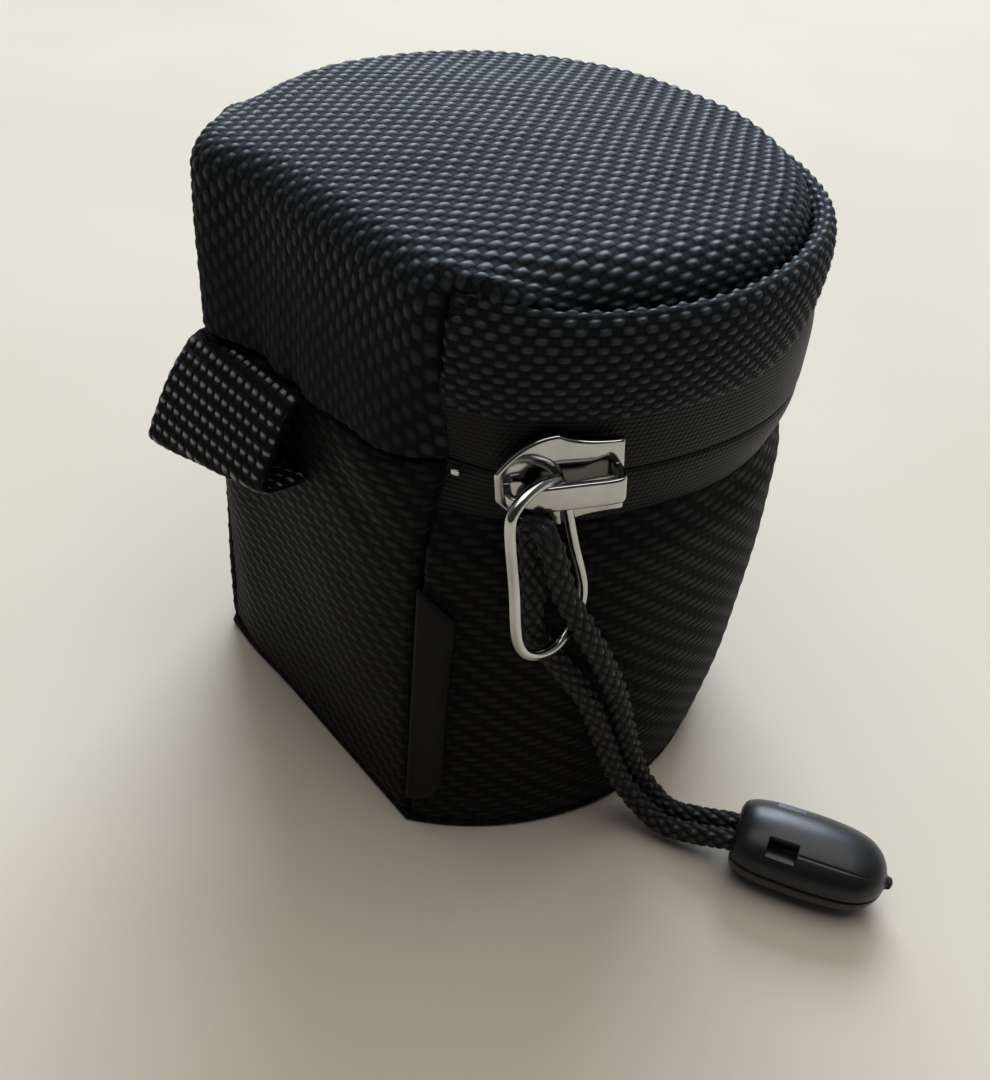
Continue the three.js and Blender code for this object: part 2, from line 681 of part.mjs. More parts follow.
/** A closed wire ring hung round the crown, a little wider at its foot, leaning off the wall. */
function pullBail() {
  const turn = degrees(PULL_TURN);
  const lean = degrees(PULL_TILT);
  const swing = degrees(PULL_SWING);
  const place = ([across, up]) => {
    const out = across * Math.cos(swing) + up * Math.sin(swing);
    const rise = up * Math.cos(swing) - across * Math.sin(swing);
    return new THREE.Vector3(
      CROWN_MIDDLE + out * Math.cos(turn) - rise * Math.sin(lean),
      PULL_ALONG - out * Math.sin(turn),
      rise * Math.cos(lean),
    );
  };
  const top = Array.from({ length: 7 }, (_, i) => {
    const angle = (Math.PI * i) / 6;
    return [PULL_HALF_TOP * Math.cos(angle), PULL_RISE * Math.sin(angle)];
  });
  const foot = PULL_HALF_FOOT - PULL_CORNER;
  const low = PULL_CORNER - PULL_DROP;
  const bend = PULL_CORNER * Math.SQRT1_2;
  const side = (sign) => [
    [sign * (PULL_HALF_TOP + PULL_HALF_FOOT) * 0.5, low / 2],
    [sign * PULL_HALF_FOOT, low],
    [sign * (foot + bend), low - bend],
    [sign * foot, -PULL_DROP],
  ];
  const ring = [...top, ...side(-1), ...side(1).toReversed()].map(place);
  const curve = new THREE.CatmullRomCurve3(ring, true, "centripetal");
  return new THREE.TubeGeometry(curve, 56, WIRE / 2, 8, true);
}

// Cord and cord end

function pullCord() {
  const route = new THREE.CatmullRomCurve3(CORD_ROUTE.map((p) => new THREE.Vector3(...p)));
  const section = new THREE.Shape(
    arcPoints(0, 0, CORD / 2, 0, 2 * Math.PI, CORD_SIDES).slice(0, -1),
  );
  return new THREE.ExtrudeGeometry(section, {
    steps: CORD_STEPS,
    extrudePath: route,
    bevelEnabled: false,
  });
}

/** A flattened bullet along +X, blunt at its mouth, drawn in by an even inset. */
function bullet(inset) {
  const half = END_WIDTH / 2 - inset;
  const from = inset > 0 ? MOUTH_DEPTH : 0;
  const length = END_LENGTH - inset - from;
  const profile = [
    [0, 0],
    [0.8, 0],
    [0.93, 0.12],
    [1, 0.38],
    [0.97, 0.6],
    [0.83, 0.8],
    [0.55, 0.94],
    [0.25, 0.99],
    [0, 1],
  ].map(([out, along]) => new THREE.Vector2(out * half, from + along * length));
  const flat = (END_HEIGHT / 2 - inset) / half;
  return solid(new THREE.LatheGeometry(profile, 20).rotateZ(-Math.PI / 2).scale(1, 1, flat));
}

/** Two snapped shells round the cord's ends: the upper one has windows for the lower one's latches. */
function cordEnd() {
  const mouthWidth = STRAND_SPACING + CORD + 2 * GAP;
  const mouth = box([2 * MOUTH_DEPTH + 2, mouthWidth, CORD + 2 * GAP], [0, 0, 0]);
  const shell = bullet(0).subtract(bullet(END_WALL)).subtract(mouth);
  const tall = END_HEIGHT;
  const half = (sign) =>
    box([3 * END_LENGTH, 2 * END_WIDTH, tall], [0, 0, sign * (tall / 2 + GAP / 2)]);
  const atWindows = (length, width, low, high) => {
    const at = (sign) =>
      box([length, width, high - low], [WINDOW_REACH, sign * WINDOW_SPREAD, (low + high) / 2]);
    return at(1).add(at(-1));
  };
  const windows = atWindows(WINDOW_LENGTH, WINDOW_WIDTH, 0, tall);
  const latchTop = END_HEIGHT / 2 - END_WALL - GAP;
  const latchLength = WINDOW_LENGTH - 2 * GAP;
  const latches = atWindows(latchLength, WINDOW_WIDTH - 2 * GAP, -END_HEIGHT / 2, latchTop);
  const upper = shell.intersect(half(1)).subtract(windows);
  const lower = shell.intersect(half(-1)).add(latches.intersect(bullet(GAP)));
  const knotRadius = END_HEIGHT / 2 - END_WALL - GAP;
  const knotFrom = WINDOW_REACH + WINDOW_LENGTH / 2 + GAP;
  const knot = new THREE.CapsuleGeometry(knotRadius, KNOT_LENGTH - 2 * knotRadius, 4, 10)
    .rotateZ(Math.PI / 2)
    .translate(knotFrom + KNOT_LENGTH / 2, 0, 0);
  const group = new THREE.Group();
  group.position.set(...END_MOUTH);
  group.rotation.z = degrees(END_HEADING);
  group.add(
    piece("cord_end_upper", upper, SATIN_PLASTIC),
    piece("cord_end_lower", lower, SATIN_PLASTIC),
    piece("cord_knot", knot, CORD_BLACK),
  );
  return group;
}

// Assembly

const pouch = new THREE.Group();
pouch.position.y = AXIS_Y;
pouch.add(...bodyPieces(), ...lowerZip(), ...lidPieces());

const slider = new THREE.Group();
slider.rotation.z = degrees(SLIDER_ANGLE);
slider.position.z = ZIP_LINE;
const casting = new THREE.Group();
casting.rotation.x = degrees(SLIDER_TILT);
casting.position.y = POST_ALONG * (1 - Math.cos(degrees(SLIDER_TILT)));
casting.position.z = -POST_ALONG * Math.sin(degrees(SLIDER_TILT));
casting.add(
  piece("slider_body", sliderBody(), CHROME),
  piece("slider_crown", sliderCrown(), CHROME),
);
slider.add(casting, piece("pull_bail", pullBail(), CHROME));
pouch.add(slider);

const lensPouch = new THREE.Group();
lensPouch.add(pouch, piece("pull_cord", pullCord(), CORD_BLACK), cordEnd());

export default lensPouch;
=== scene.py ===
"""A padded lens pouch in black woven nylon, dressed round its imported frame.

Shapes are worked out in millimetres about the pouch's upright axis and put into the meshes in metres.
"""
import math
from collections import namedtuple

import bpy
import numpy as np
from mathutils import Matrix, Vector


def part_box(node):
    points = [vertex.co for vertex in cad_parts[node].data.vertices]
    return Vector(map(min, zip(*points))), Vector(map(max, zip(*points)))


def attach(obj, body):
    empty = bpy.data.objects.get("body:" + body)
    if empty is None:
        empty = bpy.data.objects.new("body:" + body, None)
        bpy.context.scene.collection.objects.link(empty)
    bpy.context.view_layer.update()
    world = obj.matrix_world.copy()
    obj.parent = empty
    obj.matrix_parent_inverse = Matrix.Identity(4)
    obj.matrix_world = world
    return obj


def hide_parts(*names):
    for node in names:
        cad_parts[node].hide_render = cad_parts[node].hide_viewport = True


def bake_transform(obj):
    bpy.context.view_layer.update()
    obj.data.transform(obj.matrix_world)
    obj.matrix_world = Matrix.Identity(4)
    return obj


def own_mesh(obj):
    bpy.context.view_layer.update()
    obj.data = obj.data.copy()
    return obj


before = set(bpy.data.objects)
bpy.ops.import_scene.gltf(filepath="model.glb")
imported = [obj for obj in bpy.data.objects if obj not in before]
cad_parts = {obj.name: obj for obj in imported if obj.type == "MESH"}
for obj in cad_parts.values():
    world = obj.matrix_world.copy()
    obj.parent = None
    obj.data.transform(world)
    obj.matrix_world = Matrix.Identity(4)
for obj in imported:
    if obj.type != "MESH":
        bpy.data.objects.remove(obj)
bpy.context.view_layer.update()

AXIS_Y = -2.2535
ZIP_LINE = 62.3
BODY_HEM = 55.5
BAND_HEM = 70.3
FRONT_RADIUS = 41.0
BACK_DEPTH = 32.0
FRONT_RUN = 215  # about the length of the front wall from corner to corner
RING_FRONT, RING_BACK = 150, 50  # stations of a ring round the wall
HEM_BACK = 12  # points down the inside of a cloth's section
SLIDER_ANGLE = math.radians(151)
SLIDER_TILT = math.radians(6.5)
POST_ALONG = -3.7
END_HEADING = math.radians(211.3)
YARN_FINE, YARN_WIDE = 1.22, 1.57
BAND_ROW, BAND_YARN = 1.06, 1.37
TWILL_ROW, TWILL_YARN = 1.08, 1.45
LINING_YARN = 0.45


# Camera, at the photograph's viewing angle

def aim_camera():
    """Camera from its place, heading, pitch and roll; the longer side of the photograph sets the lens."""
    place, heading, pitch, roll = (-0.12041, 0.10189, 0.14571), 3.9859, 0.660, -0.1022
    focal_pixels, long_side, sensor = 1246.95, 1080, 36
    data = bpy.data.cameras.new("photo_camera")
    data.sensor_width = sensor
    data.lens = focal_pixels * sensor / long_side
    data.clip_start = 0.01
    camera = bpy.data.objects.new("photo_camera", data)
    level = Matrix.Rotation(heading, 4, "Z") @ Matrix.Rotation(math.pi / 2 - pitch, 4, "X")
    camera.matrix_world = Matrix.Translation(place) @ level @ Matrix.Rotation(-roll, 4, "Z")
    bpy.context.collection.objects.link(camera)
    bpy.context.scene.camera = camera


# Small sums

def unit(v):
    """Vectors brought to length one."""
    return v / (np.linalg.norm(v, axis=-1, keepdims=True) + 1e-12)


def pile(*parts):
    """Coordinates put side by side along a last axis."""
    return np.stack(np.broadcast_arrays(*parts), -1)


def full_turn(count):
    """Even angles once round."""
    return np.linspace(0, 2 * np.pi, count, endpoint=False)


def squared(x, power):
    """A sine or cosine taken to a low power with its sign kept, which squares a circle off."""
    return np.sign(x) * np.abs(x) ** power


def bell(x, middle, width, power=2):
    """A bell: one at the middle, falling away over the width."""
    return np.exp(-((x - middle) / width) ** power)


def smooth_step(t):
    """An even rise from 0 to 1."""
    t = np.clip(t, 0, 1)
    return t * t * (3 - 2 * t)


def quarter_round(t):
    """Fall of a quarter circle, from 0 at its top to 1 at its end."""
    return 1 - np.sqrt(np.clip(1 - np.clip(t, 0, 1) ** 2, 0, None))


def close_ring(grid):
    """A grid with its first column again at its end."""
    return np.concatenate([grid, grid[:, :1]], 1)


def run_length(points, axis=0):
    """Length run along an axis of a grid of points, starting at zero."""
    step = np.linalg.norm(np.diff(points, axis=axis), axis=-1)
    return np.concatenate([np.zeros_like(np.take(step, [0], axis)), np.cumsum(step, axis)], axis)


def cloth_lengths(points, column):
    """Lengths over a strip with a closed section: along one of its columns, and round the section."""
    return run_length(points[:, column])[:, None], run_length(close_ring(points), 1)


def smooth_path(points, count, closed=False):
    """Evenly spaced points on a centripetal spline through the given ones."""
    p = np.asarray(points, float)
    q = np.vstack([p[-1], p, p[0], p[1]]) if closed else np.vstack([2 * p[0] - p[1], p, 2 * p[-1] - p[-2]])
    t = np.concatenate([[0], np.cumsum(np.sqrt(np.linalg.norm(np.diff(q, axis=0), axis=1)))])
    fine = 40
    seg = np.repeat(np.arange(1, len(q) - 2), fine)
    at = t[seg] + np.tile(np.arange(fine) / fine, len(q) - 3) * (t[seg + 1] - t[seg])

    def mix(a, b, i, j):
        w = ((at - t[i]) / (t[j] - t[i]))[:, None]
        return a * (1 - w) + b * w

    a1, a2, a3 = (mix(q[seg + k], q[seg + k + 1], seg + k, seg + k + 1) for k in (-1, 0, 1))
    b1, b2 = mix(a1, a2, seg - 1, seg + 1), mix(a2, a3, seg, seg + 2)
    dense = np.vstack([mix(b1, b2, seg, seg + 1), p[:1] if closed else p[-1:]])
    length = run_length(dense)
    want = np.linspace(0, length[-1], count + closed)
    path = pile(*(np.interp(want, length, column) for column in dense.T))
    return path[:-1] if closed else path


def tube(path, side, radius, turn, closed=False):
    """Rings of points round a path, at the angles of the turn; side is never along the path."""
    ahead = unit(np.roll(path, -1, 0) - np.roll(path, 1, 0) if closed else np.gradient(path, axis=0))
    first = unit(np.cross(ahead, side))
    second = np.cross(first, ahead)
    around = np.cos(turn)[..., None] * first[:, None] + np.sin(turn)[..., None] * second[:, None]
    return path[:, None] + np.asarray(radius)[..., None] * around


# Meshes from arrays

def put_mesh(name, points, faces, corner_uv, finish, caps, about_axis):
    """A mesh from points, quads and the cloth coordinates of each quad's corners; end faces are polygons.

    Faces are turned outwards as a whole: the sum of triple products about the middle is made positive.
    """
    shift = np.array([0, AXIS_Y if about_axis else 0, 0])
    points = (np.asarray(points, float).reshape(-1, 3) + shift) / 1000
    offset = points - points.mean(0)

    def triple(a, b, c):
        return np.einsum("ij,ij->i", a, np.cross(b, c)).sum()

    a, b, c, d = offset[faces.T]
    volume = triple(a, b, c) + triple(a, c, d)
    for cap in caps:
        fan = offset[cap]
        volume += triple(np.broadcast_to(fan[0], fan[1:-1].shape), fan[1:-1], fan[2:])
    if volume < 0:
        faces, corner_uv = faces[:, ::-1], corner_uv[:, ::-1]
        caps = [cap[::-1] for cap in caps]
    loops = np.concatenate([faces.ravel(), *caps]).astype(np.int32)
    sizes = np.concatenate([np.full(len(faces), 4), [len(cap) for cap in caps]]).astype(np.int32)
    starts = np.concatenate([[0], np.cumsum(sizes)[:-1]]).astype(np.int32)
    mesh = bpy.data.meshes.new(name)
    mesh.vertices.add(len(points))
    mesh.vertices.foreach_set("co", points.astype(np.float32).ravel())
    mesh.loops.add(len(loops))
    mesh.loops.foreach_set("vertex_index", loops)
    mesh.polygons.add(len(sizes))
    mesh.polygons.foreach_set("loop_start", starts)
    mesh.polygons.foreach_set("use_smooth", np.arange(len(sizes)) < len(faces))
    flat = np.concatenate([corner_uv.reshape(-1, 2), np.zeros((len(loops) - faces.size, 2))])
    layer = mesh.uv_layers.new(name="cloth")
    layer.data.foreach_set("uv", flat.astype(np.float32).ravel())
    mesh.update(calc_edges=True)
    mesh.validate()
    mesh.materials.append(FINISH[finish])
    piece = bpy.data.objects.new(name, mesh)
    bpy.context.collection.objects.link(piece)
    return piece


def surface(name, points, finish, uv=None, wrap_rows=False, wrap_cols=True, about_axis=True):
    """A grid of points as one surface; a grid closed across its columns gets an end face at each open end.

    Cloth coordinates count on past a closed edge, and are nought where none are given.
    """
    rows, cols = points.shape[:2]
    r, c = np.meshgrid(np.arange(rows - (not wrap_rows)), np.arange(cols - (not wrap_cols)), indexing="ij")
    at_row = pile(r, r + 1, r + 1, r).reshape(-1, 4)
    at_col = pile(c, c, c + 1, c + 1).reshape(-1, 4)
    faces = (at_row % rows) * cols + at_col % cols
    ring = np.arange(cols)
    caps = [ring, (rows - 1) * cols + ring[::-1]] if wrap_cols and not wrap_rows else []
    if uv is None:
        uv = np.zeros((rows + 1, cols + 1, 2))
    return put_mesh(name, points, faces, uv[at_row, at_col], finish, caps, about_axis)


def two_faced(name, outer, inner, cloth, finish):
    """A cloth of two faces on one grid, closed round its edges; both have the same cloth coordinates."""
    points = np.concatenate([outer, inner[:, ::-1]], 1)
    return surface(name, points, finish, close_ring(np.concatenate([cloth, cloth[:, ::-1]], 1)))


# Plan of the pouch

def wall_plan(z, inset):
    """Front radius, its centre's shift and the back's depth at a height, drawn in by an even inset."""
    tuck = np.clip(1 - z / 50, 0, None) ** 2
    return FRONT_RADIUS - 1.6 * tuck - inset, 2.2 * tuck, BACK_DEPTH - inset


def corner_pinch(z):
    """How far the corners draw in where the zip ends, a bell over the height."""
    return 2.2 * bell(z, 62.5, 8)


def tape_fullness(share, z):
    """The tapes belly out between the hems: a bell round the front times one over the height."""
    return 2.7 * bell(share, 0.62, 0.17, 4) * bell(z, 66, 10, 4)


def back_bulge(z):
    """How far the middle of the padded back stands out, a slow sine over the height."""
    return 3.2 * np.sin(np.pi * z / 120)


def front_plan(share, z, inset):
    """A point of the round front wall: an arc from the far corner (share 0) to the near corner (share 1)."""
    radius, shift, back = wall_plan(z, inset)
    turn = np.arcsin((back - shift) / radius)
    angle = turn - share * (np.pi + 2 * turn)
    radius = radius - bell(np.minimum(share, 1 - share) * radius * 4.6, 0, 5.5) * corner_pinch(z)
    return pile(radius * np.cos(angle), shift + radius * np.sin(angle), z)


def back_plan(across, z, inset):
    """A point of the padded back wall, from -1 near to 1 far: a bulging chord, fuller on the far side."""
    radius, shift, back = wall_plan(z, inset)
    half = np.sqrt(radius ** 2 - (back - shift) ** 2)
    bulge = back_bulge(z) * np.clip(1 - across ** 4, 0, None)
    fuller = (0.4 + 3.1 * smooth_step((z - 20) / 45)) * bell(across, 0.72, 0.26) * (1 - np.abs(across) ** 8)
    ends = bell((1 - np.abs(across)) * half, 0, 4.5)
    return pile(across * half, back + bulge + fuller - ends * corner_pinch(z), z)


def across_plan(share, z, inset):
    """The back wall with its run counted from 0 near to 1 far, as on the front."""
    return back_plan(2 * share - 1, z, inset)


def slider_frame(points, tilt=0.0):
    """[outward, along the zip, up] points carried to the slider's place; the casting tilts about its post."""
    out, along, up = np.moveaxis(points, -1, 0)
    s, c = math.sin(tilt), math.cos(tilt)
    along, up = POST_ALONG * (1 - c) + along * c - up * s, -POST_ALONG * s + along * s + up * c
    x = out * math.cos(SLIDER_ANGLE) - along * math.sin(SLIDER_ANGLE)
    y = out * math.sin(SLIDER_ANGLE) + along * math.cos(SLIDER_ANGLE)
    return pile(x, y, ZIP_LINE + up)


# Finishes

def add_node(tree, kind, inputs=(), **settings):
    """A node with its settings; each input is a value or the output of another node."""
    made = tree.nodes.new(kind)
    for key, value in settings.items():
        setattr(made, key, value)
    for socket, value in dict(inputs).items():
        if isinstance(value, bpy.types.NodeSocket):
            tree.links.new(value, made.inputs[socket])
        else:
            made.inputs[socket].default_value = value
    return made


class Finish:
    """A material with one shader, and short calls for the nodes that feed it."""

    def __init__(self, name, roughness, metallic=0.0, specular=0.5, specular_tint=(1, 1, 1), sheen=0.0):
        self.material = bpy.data.materials.new(name)
        self.material.use_nodes = True
        self.tree = self.material.node_tree
        self.shader = self.tree.nodes["Principled BSDF"]
        for socket, value in {
            "Roughness": roughness, "Metallic": metallic, "Specular IOR Level": specular,
            "Specular Tint": (*specular_tint, 1), "Sheen Weight": sheen, "Sheen Roughness": 0.35,
        }.items():
            self.shader.inputs[socket].default_value = value

    def node(self, kind, inputs=(), **settings):
        return add_node(self.tree, kind, inputs, **settings)

    def calc(self, operation, *values):
        return self.node("ShaderNodeMath", dict(enumerate(values)), operation=operation).outputs[0]

    def times(self, a, b):
        return self.calc("MULTIPLY", a, b)

    def sine(self, value, pace):
        return self.calc("SINE", self.times(value, pace))

    def axes(self, vector):
        return self.node("ShaderNodeSeparateXYZ", {0: vector}).outputs

    def cloth_axes(self):
        return self.axes(self.node("ShaderNodeUVMap", uv_map="cloth").outputs[0])[:2]

    def place(self):
        return self.node("ShaderNodeTexCoord").outputs["Object"]

    def noise(self, scale, detail=3.0):
        inputs = {"Vector": self.place(), "Scale": scale, "Detail": detail, "Roughness": 0.6}
        return self.node("ShaderNodeTexNoise", inputs).outputs["Fac"]

    def ramp(self, value, *stops):
        made = self.node("ShaderNodeValToRGB", {0: value})
        elements = made.color_ramp.elements
        for element, (place, colour) in zip(list(elements), (stops[0], stops[-1])):
            element.position = place
            element.color = (*colour, 1)
        for place, colour in stops[1:-1]:
            elements.new(place).color = (*colour, 1)
        return made.outputs[0]

    def spread(self, value, low, high, start=0.0, end=1.0):
        return self.node("ShaderNodeMapRange", {0: value, 1: start, 2: end, 3: low, 4: high}).outputs[0]

    def colour(self, socket):
        self.tree.links.new(socket, self.shader.inputs["Base Color"])

    def rough(self, socket):
        self.tree.links.new(socket, self.shader.inputs["Roughness"])

    def relief(self, height, depth, strength=1.0):
        bump = self.node("ShaderNodeBump", {"Height": height, "Distance": depth, "Strength": strength})
        self.tree.links.new(bump.outputs[0], self.shader.inputs["Normal"])


Weave = namedtuple("Weave", "reach deep cross along repeat step", defaults=(2, 1))
PLAIN = Weave(0.36, 0.2, 0.55, 0.4)
TWILL = Weave(0.5, 0.35, 0.6, 0.4, 3, -1)
PUFFED = Weave(0.3, 0.2, 0.85, 0.6)
# RIBBED's narrow crest sets the pale stripe along the top of each rib of the webbing: a painted highlight.
RIBBED = Weave(0.75, 0.3, 2.6, 0.16)
CORDED = Weave(0.75, 0.3, 0.8, 0.25)
BRAIDED = Weave(0.0, 0.7, 0.7, 0.7)


def weave_level(u, v, weave):
    """Height of a weave, from 0 in its holes to 1, with one yarn to each unit of the cloth coordinates.

    Along each row of the first coordinate a sine, raised by the reach and cut off at nought, gives the floats;
    every row is stepped on from the one before. The crossing yarns show lower between them. Both are pillows:
    the sine along the yarn and the one across it are taken to powers.
    """
    reach, deep, cross, along, repeat, step = weave
    swell = np.abs(np.sin(np.pi * u))
    wave = np.sin(2 * np.pi * (v + step * np.floor(u)) / repeat)
    over = np.clip((wave + reach) / (1 + reach), 0, 1) ** along * swell ** cross
    under = np.clip((-wave - reach) / (1 - reach), 0, 1) ** cross * swell ** along
    return np.maximum(over, deep * under)


def weave_relief(points, uv, depth, weave):
    """Moves a grid of points out along its normals by the weave's height, and its holes in by as much."""
    normal = unit(np.cross(np.gradient(points, axis=0), np.gradient(points, axis=1)))
    return points + (depth * (weave_level(uv[..., 0], uv[..., 1], weave) - 0.5))[..., None] * normal


def woven(name, weave, colours, depth, specular, roughness, tint=(1, 1, 1), stops=(0.1, 0.42, 0.92),
          matte_back=False):
    """Finish of a weave, worked out as in weave_level: smoother floats, and fine fibres along each. Its colour
    follows the weave's height as painted shade and light: darkest in the holes, dark on the crossing yarns,
    palest on the floats. The colours are those of the holes, the crossing yarns and the floats."""
    f = Finish(name, 0.45, specular=specular, specular_tint=tint)
    u, v = f.cloth_axes()
    reach, deep, cross, along, repeat, step = weave
    swell = f.calc("ABSOLUTE", f.sine(u, math.pi))
    wave = f.sine(f.calc("MULTIPLY_ADD", f.calc("FLOOR", u), float(step), v), 2 * math.pi / repeat)
    raised = f.calc("MAXIMUM", f.calc("DIVIDE", f.calc("ADD", wave, reach), 1 + reach), 0.0)
    sunk = f.calc("MAXIMUM", f.calc("DIVIDE", f.calc("SUBTRACT", -reach, wave), 1 - reach), 0.0)
    high = f.times(f.calc("POWER", raised, along), f.calc("POWER", swell, cross))
    low = f.times(f.calc("POWER", sunk, cross), f.calc("POWER", swell, along))
    level = f.calc("MAXIMUM", high, f.times(low, deep))
    on_top = f.calc("GREATER_THAN", raised, 0.0)
    beneath = f.calc("SUBTRACT", 1.0, on_top)
    fibres = f.sine(f.calc("ADD", f.times(u, on_top), f.times(v, beneath)), 15 * math.pi)
    # Painted shade and light: the colour rises with the weave's height, darkest in the holes and palest on the
    # floats.
    shade = f.calc("MULTIPLY_ADD", f.calc("SUBTRACT", f.noise(55.0, 4.0), 0.5), 0.3, level)
    f.colour(f.ramp(f.calc("MULTIPLY_ADD", fibres, 0.07, shade), *zip(stops, colours)))
    rough = f.spread(level, *roughness)
    if matte_back:
        _, y, z = f.axes(f.place())
        behind = f.times(f.spread(y, 0.0, 1.0, 0.026, 0.030), f.spread(z, 0.0, 1.0, 0.086, 0.072))
        rough = f.calc("MULTIPLY_ADD", f.calc("SUBTRACT", 0.95, rough), behind, rough)
    f.rough(rough)
    f.relief(f.calc("MULTIPLY_ADD", fibres, 0.1, level), depth)
    return f.material


def speckled(name, low, high, grain, gloss=None, relief=None, **shader):
    """Finish of a plain surface: cloudy between two colours, uneven in its gloss, with a fine relief."""
    f = Finish(name, **shader)
    f.colour(f.ramp(f.noise(*grain), (0.3, low), (0.7, high)))
    if gloss:
        f.rough(f.spread(f.noise(*gloss[0]), *gloss[1]))
    if relief:
        f.relief(f.noise(*relief[0]), *relief[1])
    return f.material


def tape_finish():
    """Finish of the zip's tapes: ribs along them, crossed by a slanting knit; their colour follows the height,
    so the grooves carry painted shade.
    """
    f = Finish("zip_tape_ribs", 0.5, specular=0.16)
    u, v = f.cloth_axes()
    ribs = f.calc("ABSOLUTE", f.sine(v, math.pi / 0.62))
    knit = f.calc("ABSOLUTE", f.calc("SINE", f.calc("ADD", f.times(u, math.pi / 0.8), f.times(v, 2.2))))
    level = f.calc("MULTIPLY_ADD", knit, 0.4, f.times(ribs, 0.6))
    # Painted shade: the colour follows the height of the ribs and the knit, darker in the grooves.
    shade = f.calc("MULTIPLY_ADD", f.noise(70.0), 0.3, level)
    f.colour(f.ramp(shade, (0.1, (0.0012, 0.0012, 0.0014)), (0.9, (0.0062, 0.0062, 0.0068))))
    f.rough(f.spread(level, 0.58, 0.42))
    f.relief(level, 0.00012)
    return f.material


def satin_finish():
    """Finish of the bare tab: a fine even weave under a cloudy sheen."""
    f = Finish("tab_tape_satin", 0.5, specular=0.12)
    u, v = f.cloth_axes()
    fine = f.times(f.sine(u, 19.0), f.sine(v, 13.0))
    shade = f.calc("MULTIPLY_ADD", f.noise(90.0), 0.5, f.times(fine, 0.25))
    f.colour(f.ramp(shade, (0.0, (0.0022, 0.0022, 0.0025)), (0.7, (0.005, 0.005, 0.0055))))
    f.rough(f.spread(f.noise(140.0), 0.38, 0.55))
    f.relief(fine, 0.00004)
    return f.material


def foam_finish():
    """Finish of the foam: open cells."""
    f = Finish("open_foam", 0.9, sheen=0.1)
    cells = f.node("ShaderNodeTexVoronoi", {"Vector": f.place(), "Scale": 900.0}).outputs["Distance"]
    f.colour(f.ramp(cells, (0.0, (0.004, 0.004, 0.0043)), (0.8, (0.013, 0.013, 0.0138))))
    f.relief(cells, 0.0002)
    return f.material


def make_finishes():
    """Every finish of the pouch by name."""
    # The holes and the crossing yarns are darkened below the nylon's own colour: painted shade between the
    # yarns.
    painted_hole_shade, under, cool = (0.0002, 0.0002, 0.0003), (0.0014, 0.0015, 0.0018), (0.82, 0.92, 1.0)
    return {
        "lid_weave": woven(
            "lid_nylon_weave", PLAIN, (painted_hole_shade, under, (0.0105, 0.0117, 0.0152)), 0.00008, 0.3, (1.0, 0.34),
            tint=cool, matte_back=True),
        # The band is a lit copy of the lid's nylon, its floats paler: painted light on the band.
        "band_weave_painted_light": woven(
            "band_nylon_weave_painted_light", PUFFED, (painted_hole_shade, under, (0.0185, 0.02, 0.0242)), 0.00008, 0.36, (1.0, 0.32),
            tint=cool),
        # The walls are a shaded copy of the same nylon, darker than the lid: painted shade on the walls.
        "wall_weave_painted_shade": woven(
            "wall_nylon_twill_painted_shade", TWILL,
            ((0.0008, 0.0008, 0.0009), (0.002, 0.002, 0.0022), (0.0066, 0.0067, 0.0074)),
            0.00005, 0.12, (0.85, 0.5)),
        "lining_weave": woven(
            "fine_lining_weave", PLAIN, ((0.003, 0.003, 0.0033), (0.010, 0.010, 0.011), (0.018, 0.018, 0.0195)),
            0.00012, 0.2, (0.7, 0.5)),
        # The webbing's pale crest colour is a painted highlight along the top of each rib.
        "webbing": woven(
            "ribbed_webbing_painted_highlights", RIBBED, ((0.0003, 0.0003, 0.0004), (0.002, 0.002, 0.0022), (0.22, 0.228, 0.245)),
            0.0001, 0.2, (0.95, 0.35), stops=(0.25, 0.68, 1.0)),
        "braid": woven(
            "braided_cord", BRAIDED, ((0.0005, 0.0005, 0.0006), (0.003, 0.003, 0.0034), (0.014, 0.0145, 0.016)),
            0.0001, 0.34, (0.85, 0.36)),
        "zip_tape": tape_finish(),
        "tab_tape": satin_finish(),
        "chrome": speckled(
            "bright_plating", (0.40, 0.40, 0.38), (0.54, 0.54, 0.52), (160.0, 5.0),
            ((420.0, 4.0), (0.05, 0.17)), ((260.0, 2.0), (0.00002, 0.5)), roughness=0.08, metallic=1.0),
        "plastic": speckled(
            "moulded_satin_plastic", (0.0075, 0.008, 0.009), (0.0115, 0.012, 0.0135), (60.0,),
            ((300.0, 5.0), (0.27, 0.42)), ((900.0, 3.0), (0.00003, 0.6)), roughness=0.35, specular=0.38),
        "coil": speckled(
            "zip_coil_nylon", (0.006, 0.006, 0.0065), (0.011, 0.011, 0.012), (120.0,), ((200.0,), (0.3, 0.45)),
            roughness=0.35),
        "foam": foam_finish(),
        "floor": speckled(
            "pale_floor", (0.522, 0.462, 0.378), (0.552, 0.492, 0.406), (9.0, 2.0),
            relief=((700.0, 3.0), (0.0001, 0.3)), roughness=0.8, specular=0.2),
    }


def settle(piece, body, slot, *nodes):
    """Rides a finished piece on its body and stands it for its solids; its slot is not used."""
    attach(piece, body)
    if nodes:
        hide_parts(*nodes)
    return piece


# Doubled cord

CORD_ROUTE = [
    (-62.6, -10.85, 5.25), (-56.6, -7.25, 5.15), (-52, -4.75, 3.7), (-47.9, -2.45, 3.1), (-44.8, -0.75, 5.6),
    (-43.4, 2.65, 12.5), (-43.2, 6.15, 21.5), (-43.2, 9.35, 30), (-42.9, 12.95, 37.5), (-42.1, 16.25, 43.8),
    (-40.8, 19.25, 50), (-40.1, 21.05, 55.8), (-39.2, 21.95, 58.6), (-38, 22.05, 59.1), (-36.85, 22.15, 58.6),
    (-36.8, 21.95, 55.8), (-37.6, 21.45, 50), (-37.65, 20.6, 42.2), (-39.3, 17.15, 36.3), (-41.6, 12.75, 29),
    (-42.6, 9.35, 20.5), (-43.6, 5.95, 12), (-45.9, 2.65, 5.8), (-49.3, 0.65, 3.1), (-53.6, -1.65, 3.7),
    (-58.4, -4.45, 5.15), (-64.3, -8.05, 5.25),
]


